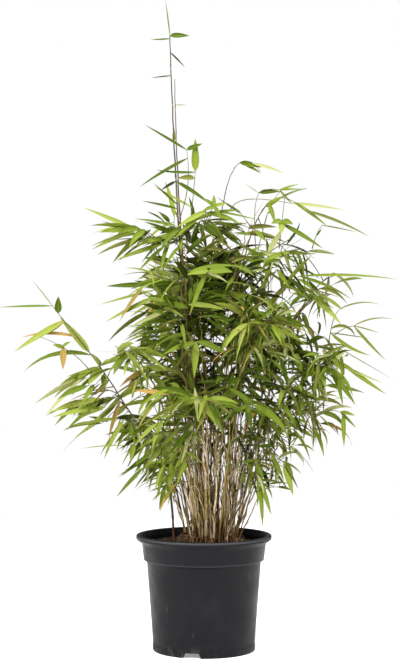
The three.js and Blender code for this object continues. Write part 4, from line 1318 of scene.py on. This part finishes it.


# Leaves listed one by one, where the plant shows single ones: each spray's shoot, its twig and its leaves. A
# twig is a curve of three points in millimetres, and a spray without one grows on the shoot itself. Each leaf
# has its share of the way along, its heading and rise in degrees, its length and width in millimetres, how
# many degrees it bends down, and its colour.
# The brightest and the darkest colours among them are painted light and painted shade.
handSprays = [
    ("leader", (), [
        (1, 180, 83, 52, 2.8, 0, "olive"), (1, 0, 0, 28, 9.5, 0, "shaded"),
        (0.993, 184, -6, 28, 3, -8, "shaded"), (0.961, 0, -44, 30, 3, 4, "shade"),
        (0.908, 180, -6, 29, 2.4, 0, "shade"), (0.762, 90, 86, 20, 5, 0, "bright")]),
    ("leader_side", (), [
        (1, 0, 84, 8, 1.6, 0, "olive"), (0.94, 0, 0, 17, 1.8, 0, "olive")]),
    ("leader_side", ((-33, -13, 605), (-16, -16, 650), (-24, -16, 698)), [
        (1, 180, 31, 70, 4.6, 0, "shaded"), (0.88, 182, -28, 80, 5.6, 8, "shaded"),
        (1, 0, 22, 24, 8, 0, "shaded")]),
    ("leader_side", ((-20, -12, 590), (-14, -14, 640), (-12, -16, 668)), [
        (1, 90, 86, 47, 11.5, -2, "fresh"), (0.98, 182, -2, 56, 4.6, -14, "shaded"),
        (0.84, 186, 0, 25, 11, 0, "olive"), (0.3, 180, 29, 62, 4, 0, "bright")]),
    ("leader_side", ((-36, -16, 610), (-38, -18, 640), (-39, -18, 654)), [
        (1, 0, -30, 60, 6.8, 10, "shaded"), (1, 182, -28, 25, 5, 8, "shade"),
        (0.2, 180, 42, 46, 3.8, 0, "shaded"), (0.1, 181, 14, 52, 4.4, 4, "shaded")]),
    ("01", ((0, -30, 590), (6, -34, 610), (14, -36, 618)), [
        (1, 95, 76, 17, 6, 0, "fresh"), (1, 160, 40, 20, 6, 10, "mid"), (1, 15, 18, 20, 6, 10, "fresh"),
        (1, 200, -20, 20, 6, 10, "mid"), (1, -40, -50, 18, 6, 0, "mid")]),
    ("left_top", ((-66, -12, 575), (-85, -12, 592), (-98, -13, 588)), [
        (1, 180, 24, 76, 7.4, 2, "bright"), (0.9, 180, 10, 50, 3.6, -6, "mid"),
        (0.7, 184, -20, 74, 8, 10, "fresh")]),
    ("left_top", ((-50, -16, 560), (-54, -18, 566), (-58, -20, 566)), [
        (1, 183, -16, 70, 8, 8, "fresh"), (0.5, 186, -40, 52, 6, 10, "mid")]),
    ("left_top", ((-20, -20, 560), (-30, -22, 585), (-39, -24, 592)), [
        (1, 180, 12, 59, 5, 6, "mid"), (0.6, 181, -16, 74, 8, 4, "fresh"),
        (0.5, 180, -12, 67, 7, 2, "fresh")]),
    ("left_top", ((-5, -30, 570), (0, -34, 595), (3, -36, 613)), [
        (1, 181, -40, 60, 9, 6, "fresh"), (0.95, 184, -26, 46, 9, 8, "bright"),
        (0.9, 0, -10, 50, 9, 20, "mid")]),
    ("left", ((-56, -6, 300), (-66, -12, 296), (-76, -14, 274)), [
        (1, 180, -36, 52, 7, 4, "mid"), (0.75, 181, -53, 46, 7, 4, "fresh"),
        (0.5, 180, -20, 40, 3, 8, "olive")]),
    ("left", ((-60, -8, 290), (-72, -14, 275), (-85, -16, 255)), [
        (1, 182, -46, 55, 6.5, 4, "mid"), (0.8, 180, -16, 34, 3, 10, "shaded")]),
    ("left", ((-52, -6, 280), (-52, -12, 250), (-47, -14, 223)), [
        (1, 182, -56, 29, 8, 2, "mid"), (0.6, 181, -40, 24, 7, 4, "fresh"),
        (0.85, 180, -14, 30, 3, 12, "shaded")]),
    ("04", ((-50, -30, 480), (-70, -34, 510), (-82, -36, 510)), [
        (0.9, 182, -2, 56, 8.5, 0, "shaded"), (1, 180, -52, 62, 6.5, 10, "yellow"),
        (0.5, 180, -14, 80, 4.6, 2, "bright"), (0.3, 181, -24, 84, 8, 6, "bright"),
        (0.35, 182, -62, 44, 5.5, 4, "yellow")]),
    ("left", ((-195, -12, 460), (-203, -12, 470), (-212, -12, 482)), [
        (1, 180, 52, 46, 1.8, 0, "olive"), (0.95, 180, 0, 77, 3.8, 4, "mid"),
        (0.5, 92, 86, 24, 10.5, 0, "shaded")]),
    ("left", (), [
        (1, 182, -30, 82, 10.5, 5, "bright"), (1, 184, -36, 28, 8, 10, "yellow"),
        (0.86, 180, 50, 65, 12.5, 0, "bright"), (0.93, 180, 12, 80, 5.4, 34, "yellow"),
        (0.85, 178, 10, 102, 7.5, 62, "mid"), (0.8, 184, -24, 78, 9.5, 12, "fresh"),
        (0.79, 182, -10, 50, 5.5, 8, "fresh"), (0.8, -110, 40, 36, 13, 20, "bright"),
        (0.8, -60, 25, 34, 13, 30, "bright"), (0.79, -125, -30, 38, 13, 20, "bright"),
        (0.77, -90, -76, 26, 10, 0, "bright"), (0.74, 182, -46, 30, 7, 4, "yellow")]),
    ("left", ((-160, -16, 392), (-180, -16, 420), (-228, -17, 438)), [
        (0.62, -92, -80, 31, 10, 0, "yellow"), (0.6, 170, 20, 18, 7, 10, "fresh"),
        (0.64, -30, 30, 16, 7, 10, "fresh")]),
    ("left", ((-108, -10, 340), (-125, -14, 360), (-143, -16, 352)), [
        (1, 181, -12, 77, 9, 8, "bright"), (0.95, 182, -40, 68, 8, 4, "mid"),
        (0.9, 184, -58, 26, 5, 0, "shaded"), (0.3, 181, -46, 82, 9, -16, "bright"),
        (0.25, 182, -70, 56, 7.5, 8, "yellow"), (0.6, 182, -34, 44, 3, 0, "olive")]),
    ("arch_top", (), [
        (0.8, 0, -9, 32, 10, 8, "mid"), (0.81, -8, -26, 34, 5.5, 8, "shaded"),
        (0.92, 0, -14, 50, 5.5, 8, "pale")]),
    ("arch_back", ((74, 30, 560), (68, 26, 625), (78, 26, 642)), [
        (1, 0, 6, 31, 8.5, 8, "shaded"), (0.98, 180, 35, 24, 1.4, 0, "olive")]),
    ("arch_back", ((78, 26, 642), (92, 26, 650), (107, 26, 646)), [
        (1, 4, 17, 30, 3.8, 0, "fresh"), (1, 0, 2, 34, 3.6, 0, "fresh"), (1, 0, -50, 28, 4, -6, "mid")]),
    ("arch_right", ((37, -24, 615), (45, -30, 638), (119, -40, 622)), [
        (1, 2, -5, 76, 5.4, 6, "pale")]),
    ("arch_right", ((104, -30, 560), (108, -32, 600), (112, -32, 632)), [
        (0.5, -20, -10, 17, 10, 20, "fresh"), (0.5, 200, -6, 17, 9, 20, "fresh"),
        (0.5, -100, -60, 22, 10, 0, "bright"), (0.45, 0, -29, 68, 8, 6, "mid")]),
    ("arch_right", (), [
        (1, 0, -17, 98, 6, 14, "olive"), (0.93, 0, -34, 60, 6, 6, "fresh")]),
    ("arch_right", ((40, -24, 520), (52, -28, 548), (62, -30, 552)), [
        (1, 0, 1, 58, 7, 3, "mid"), (0.9, 10, 40, 24, 5, 20, "fresh"),
        (0.7, 180, -20, 30, 5, 10, "olive")]),
    ("arch_right", ((62, -30, 552), (90, -32, 556), (112, -32, 553)), [
        (1, 0, 0, 46, 4.6, 2, "fresh"), (0.5, 0, 57, 42, 9, -4, "pale"), (0.9, 0, 14, 34, 3, 10, "olive"),
        (0.75, 0, -24, 40, 4, 6, "mid")]),
    ("arch_right", ((56, -28, 560), (66, -28, 580), (70, -28, 586)), [
        (1, 0, -45, 23, 8, 0, "fresh"), (0.6, 182, 10, 26, 5, 10, "mid")]),
    ("01", ((2, -28, 590), (8, -30, 606), (15, -30, 612)), [
        (1, 0, -10, 60, 3.6, 4, "mid"), (0.8, 4, 10, 40, 5, 12, "mid")]),
    ("right", ((98, -20, 490), (108, -22, 510), (115, -22, 514)), [
        (1, 0, 48, 51, 7, 2, "fresh"), (0.8, 0, -30, 44, 5, 10, "mid")]),
    ("right", ((118, -20, 490), (132, -22, 508), (142, -22, 503)), [
        (1, 0, -36, 47, 6, -4, "mid"), (0.9, 0, -8, 50, 3, 14, "olive")]),
    ("right", ((150, -26, 560), (156, -30, 585), (164, -30, 593)), [
        (0.95, 2, -10, 50, 2.8, 2, "olive"), (0.4, 20, 50, 14, 3, 0, "shaded")]),
    ("right", ((110, -20, 500), (122, -22, 518), (132, -22, 522)), [
        (1, 0, 3, 140, 4.6, 13, "fresh"), (1, 0, -16, 80, 5.4, 20, "mid"),
        (0.7, 184, -40, 60, 7, 10, "olive")]),
    ("right", ((174, -16, 430), (178, -16, 466), (188, -16, 476)), [
        (1, 0, 24, 60, 3, 46, "olive"), (0.3, 0, 22, 42, 6, 112, "olive"),
        (0.2, 0, -42, 66, 6.2, -34, "fresh"), (0.2, 0, -8, 58, 2.4, 0, "olive"),
        (0, 0, -30, 105, 1.8, 0, "olive")]),
    ("right", ((182, -20, 441), (198, -20, 454), (208, -20, 453)), [
        (1, 0, 26, 58, 3, 44, "olive"), (1, 0, -14, 38, 2.8, 4, "olive"), (1, 0, -50, 66, 5, -8, "mid")]),
    ("right", ((165, -30, 380), (180, -34, 402), (192, -34, 400)), [
        (1, 0, -37, 74, 7.4, -6, "fresh"), (0.8, 2, -26, 66, 5, -8, "pale"),
        (0.3, 0, -50, 60, 10, 8, "mid"), (0.5, -20, -74, 56, 7.5, 6, "fresh")]),
    ("right", ((150, -30, 322), (172, -34, 345), (192, -36, 332)), [
        (1, -80, -84, 46, 7, 0, "fresh"), (0.9, 0, -45, 32, 5, 0, "mid"),
        (0.9, -20, -6, 22, 6, 20, "fresh"), (0.3, 0, -6, 40, 8, 78, "mid"),
        (0.2, 0, -44, 40, 3, 0, "olive"), (0.1, 0, -60, 34, 3, 0, "olive")]),
    ("right", ((80, -30, 285), (96, -34, 276), (110, -36, 264)), [
        (1, -10, -73, 47, 11, 2, "bright"), (1, 0, -58, 42, 4.4, 8, "shaded"),
        (0.9, 0, -20, 34, 3.4, 36, "mid"), (0.4, -20, -60, 44, 6, 10, "mid")]),
    ("15", ((56, -26, 262), (70, -30, 250), (80, -32, 232)), [
        (0.9, -60, -84, 62, 6.5, 0, "fresh"), (1, -10, -72, 42, 7, 0, "fresh"),
        (0.4, 0, -50, 34, 4, 10, "mid")]),
    ("08", ((40, -60, 330), (52, -78, 352), (66, -86, 346)), [
        (1, -14, -24, 66, 11, 44, "mid"), (0.98, 180, 40, 46, 9, 16, "mid"),
        (0.85, 182, -28, 46, 8, 10, "mid"), (0.7, -70, -60, 40, 8, 10, "shaded")]),
    ("08", ((10, -70, 330), (8, -92, 352), (8, -100, 350)), [
        (1, -20, -62, 46, 10, 14, "mid"), (0.9, 185, -50, 42, 8, 8, "shaded"),
        (0.7, -10, 6, 40, 8, 40, "mid")]),
    ("08", ((-20, -70, 400), (-14, -96, 430), (-10, -104, 432)), [
        (1, -10, -14, 48, 10, 30, "mid"), (0.95, -100, -70, 52, 10, 0, "fresh"),
        (0.8, 184, -12, 46, 9, 20, "fresh")]),
    ("02", ((-10, -100, 500), (-2, -112, 520), (6, -118, 526)), [
        (1, -20, 4, 34, 14, 20, "mid"), (1, 190, 0, 30, 12, 30, "fresh"),
        (0.8, 186, -66, 60, 8, 6, "fresh")]),
]

# Whole sprays set where the crown is fuller: the place of each in millimetres, its heading in degrees, how
# many leaves it has and, where they are smaller, their scale.
fanTwig = {"pitch": -16, "bow": 0.008, "endRise": -0.2, "endLength": 0.012}
fans = [
    ((-150, -20, 372), 190, 4), ((-132, 10, 350), 165, 3), ((-142, -30, 340), 205, 3),
    ((-160, 0, 352), 180, 3), ((-125, -20, 395), 155, 3), ((-150, 20, 388), 175, 3),
    ((-168, -15, 380), 186, 3), ((-96, -30, 290), 205, 2), ((112, -20, 312), -15, 5),
    ((128, 12, 335), 10, 5), ((142, -20, 352), -10, 4), ((118, 0, 288), 0, 4), ((150, 0, 330), -20, 4),
    ((135, -30, 408), 10, 4), ((160, 10, 372), -10, 3), ((100, -30, 268), -20, 4), ((88, 10, 250), 5, 3),
    ((150, -10, 425), 5, 4), ((158, 10, 440), -5, 4), ((150, -25, 312), -25, 3), ((105, -10, 300), -40, 4),
    ((112, -20, 566), 5, 3), ((120, 0, 556), -10, 3), ((95, -20, 552), 15, 3), ((110, 10, 540), -10, 4),
    ((-30, -20, 590), 170, 2), ((-12, 20, 600), 60, 3), ((10, -20, 598), -20, 4), ((-45, 10, 575), 200, 3),
    ((-12, -62, 300), 205, 3, 0.75), ((42, -62, 302), -25, 3, 0.75), ((-30, -56, 282), 190, 3, 0.75),
    ((62, -50, 290), -10, 4, 0.8), ((-22, -50, 318), 170, 3, 0.8), ((66, -40, 268), -30, 3, 0.75),
    ((60, -30, 250), -20, 3, 0.7), ((-34, -40, 262), 200, 3, 0.8), ((84, -24, 574), 10, 2),
    ((134, 0, 560), 10, 3), ((160, -20, 318), -30, 3), ((112, -20, 288), -20, 3), ((118, 0, 280), 10, 3),
    ((-140, -15, 318), 195, 3),
]


def addFan(number, place, turn, count, scale=1.0):  # on a twig from the nearest shoot
    end = Vector(place) / 1000
    own = min(range(len(shoots)), key=lambda n: axisDistance(end, shoots[n]["axis"]))
    root = min(shoots[own]["axis"], key=lambda p: (p - end).length)
    middle = root.lerp(end, 0.5) + upwards(fanTwig["bow"])
    points = [pointAt((root, middle, end), share) for share in shares(6)]
    points.append(end + heading(math.radians(turn), fanTwig["endRise"]) * fanTwig["endLength"])
    addSpray(own, points, twig["radius"], count, fanTwig["pitch"], 20000 + number * 8, scale, True)


def addHandSpray(number, name, twigPoints, leaves):
    own = next(n for n, shoot in enumerate(shoots) if shoot["name"] == name)
    line = shoots[own]["line"]
    if twigPoints:
        line = [Vector(place) / 1000 for place in twigPoints]
        addTwigPath([pointAt(line, share) for share in shares(6)], *twig["radius"], number)
    for order, (at, turn, rise, length, width, droop, kind) in enumerate(leaves):
        turn = math.radians(turn)
        roll = leaf["handRoll"] * abs(math.cos(turn)) * (1 if math.cos(turn) < 0 else -1)
        addLeaf(kind, own, pointAt(line, at), turn, math.radians(rise), length / 1000, width / 1000,
                9000 + number * 16 + order, droop, roll)


# Short sprays in the middle of the crown, whose leaves, dealt mostly the painted-shade colours, close the
# view through it.
inner = {
    "sprays": 26,
    "along": (0.3, 0.98),
    "middle": (0.03, 0.012, 0.405),
    "radii": (0.1, 0.095, 0.15),
    "twig": (0.012, 0.04),
    "rise": (-0.6, 0.9),
    "leaves": 4,
    "pitch": (-40, 20),
    "scale": 0.8,
}


def growInner(own):
    for n in range(inner["sprays"]):
        key = 40000 + own * 256 + n * 8
        root = pointAt(shoots[own]["line"], between(*inner["along"], key, 131))
        away = root - Vector(inner["middle"])
        if sum((away[axis] / inner["radii"][axis]) ** 2 for axis in range(3)) > 1:
            continue
        direction = heading(2 * math.pi * chance(key, 132), between(*inner["rise"], key, 133))
        points = sagging(root, direction, between(*inner["twig"], key, 134))
        pitch = between(*inner["pitch"], key, 135)
        addSpray(own, points, twig["fineRadius"], inner["leaves"], pitch, key, inner["scale"], True)


# Low sprays on the leafy stalks, each counted with the shoot whose tip is nearest.
lowSprays = {
    "at": (0.55, 0.7, 0.85, 1.0),
    "turn": 1.1,
    "rise": (-0.3, 0.7),
    "twig": (0.02, 0.045),
    "sag": 0.3,
    "lowest": 0.228,
    "leaves": 4,
    "pitch": -38,
    "scale": 0.85,
}


def growLow(key, line):
    own = min(range(len(shoots)), key=lambda n: (shoots[n]["line"][2] - line[2]).length)
    leaning = math.atan2(line[2].y - line[0].y, line[2].x - line[0].x)
    for n, share in enumerate(lowSprays["at"]):
        turn = leaning + between(-lowSprays["turn"], lowSprays["turn"], key, n, 121)
        direction = heading(turn, between(*lowSprays["rise"], key, n, 122))
        length = between(*lowSprays["twig"], key, n, 123)
        points = sagging(pointAt(line, share), direction, length, lowSprays["sag"])
        if points[-1].z > lowSprays["lowest"]:
            addSpray(own, points, twig["radius"], lowSprays["leaves"], lowSprays["pitch"], key * 8 + n,
                     lowSprays["scale"])


clumpGrowth = {"twigLeaves": 4, "finer": 6, "finerLeaves": 3, "tipLeaves": 3, "leafScale": 1.0}
for own, shoot in enumerate(shoots):
    shoots[own] = shoot = {**clumpGrowth, **shoot}
    joints = max(2, round(shoot["run"] * (1 - shoot["start"]) / shoot["spacing"]))
    rings = [pointAt(shoot["line"], mix(shoot["start"], 1, share)) for share in shares(joints)]
    if shoot["tipLeaves"]:
        growTop(own)
    for j in range(joints - 1, -1, -1):
        if shoot["twigLeaves"] and (j + 1) / joints <= shoot.get("twigsTo", 1):
            growTwig(own, rings, j)
for own in range(clump["culms"]):
    growInner(own)
for number, spray in enumerate(handSprays):
    addHandSpray(number, *spray)
for number, fan in enumerate(fans):
    addFan(number, *fan)
for key, line in leafyStalks:
    growLow(key, line)

foliageNodes = [n for n in nodeNames if n.startswith("foliage_")]
twigValues = {**twig["values"], "Material": culmSkin(culmLooks["twigs"])}
finishPiece(grown("twigs", pathMesh("twigs", twigPaths), stems, twigValues), foliageNodes)
for kind, look in leafKinds.items():
    dry = kind == "yellow"
    tip = (0.28, 0.15, 0.05) if dry else mixed(look["colours"][1], (0.3, 0.26, 0.06), 0.5)
    name = "leaves" + kind.capitalize()
    skin = leafSkin(kind + "Leaf", *look["colours"], tip, 0.62 if dry else 0.86)
    values = {"Wrap": look.get("wrap", leaf["wrap"]), "Points Across": 5, "Material": skin}
    piece = grown(name, pathMesh(name, leafPaths[kind]), blades, values)
    finishPiece(piece, sorted(leafNodes[kind]))
print("leaves made:", sum(len(paths) for paths in leafPaths.values()), "on", len(twigPaths), "twigs")

studio = {
    "floor": (0.93, 0.93, 0.93),
    "floorRadius": 1.6,
    "backdrop": 1.0,
    "ambient": 0.24,
    "glow": 0.3,  # the floor's own light, so that it stays pale
    "lights": {
        "leftSoftbox": {"at": (-1.7, -1.6, 1.7), "size": 1.4, "power": 96},
        "rightSoftbox": {"at": (1.9, -1.5, 1.5), "size": 1.2, "power": 60},
        "topSoftbox": {"at": (0.1, -0.5, 2.6), "size": 1.6, "power": 68},
        "backSoftbox": {"at": (0.4, 2.0, 2.3), "size": 1.2, "power": 22},
    },
    "aim": (0.0, 0.0, 0.4),
    "camera": (-0.0055, -2.3, 0.448),
    "lens": 89.62,
}


def makeStudio():
    bpy.ops.mesh.primitive_circle_add(vertices=128, radius=studio["floorRadius"], fill_type="NGON")
    floor = bpy.context.active_object
    floor.name = "studioFloor"
    material, tree, shader = newMaterial("paleFloor", Roughness=0.7, Specular_IOR_Level=0.2,
                                         Emission_Strength=studio["glow"], Emission_Color=(1, 1, 1, 1))
    shader.inputs["Base Color"].default_value = (*studio["floor"], 1)
    floor.data.materials.append(material)
    floor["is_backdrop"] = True
    for name, light in studio["lights"].items():
        lamp = bpy.data.lights.new(name, "AREA")
        lamp.shape, lamp.size, lamp.energy = "DISK", light["size"], light["power"]
        stand = newObject(name, lamp)
        stand.location = light["at"]
        aim = Vector(studio["aim"]) - Vector(light["at"])
        stand.rotation_euler = aim.to_track_quat("-Z", "Y").to_euler()
    world = bpy.data.worlds.new("studioWorld")
    world.use_nodes = True
    tree = world.node_tree
    tree.nodes.clear()
    seen = put(tree, "ShaderNodeLightPath").outputs["Is Camera Ray"]
    levels = {"Value": seen, "To Min": studio["ambient"], "To Max": studio["backdrop"]}
    strength = put(tree, "ShaderNodeMapRange", levels).outputs["Result"]
    sky = put(tree, "ShaderNodeBackground", {"Color": (1, 1, 1, 1), "Strength": strength})
    put(tree, "ShaderNodeOutputWorld", {"Surface": sky.outputs[0]})
    bpy.context.scene.world = world
    bpy.context.scene.view_settings.view_transform = "Standard"


def makeCamera():
    lens = bpy.data.cameras.new("camera")
    lens.lens, lens.sensor_width = studio["lens"], 36
    camera = newObject("camera", lens)
    camera.location = studio["camera"]
    camera.rotation_euler = (math.pi / 2, 0, 0)  # level, towards the back
    bpy.context.scene.camera = camera


makeStudio()
makeCamera()
print("studio made")

low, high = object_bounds()
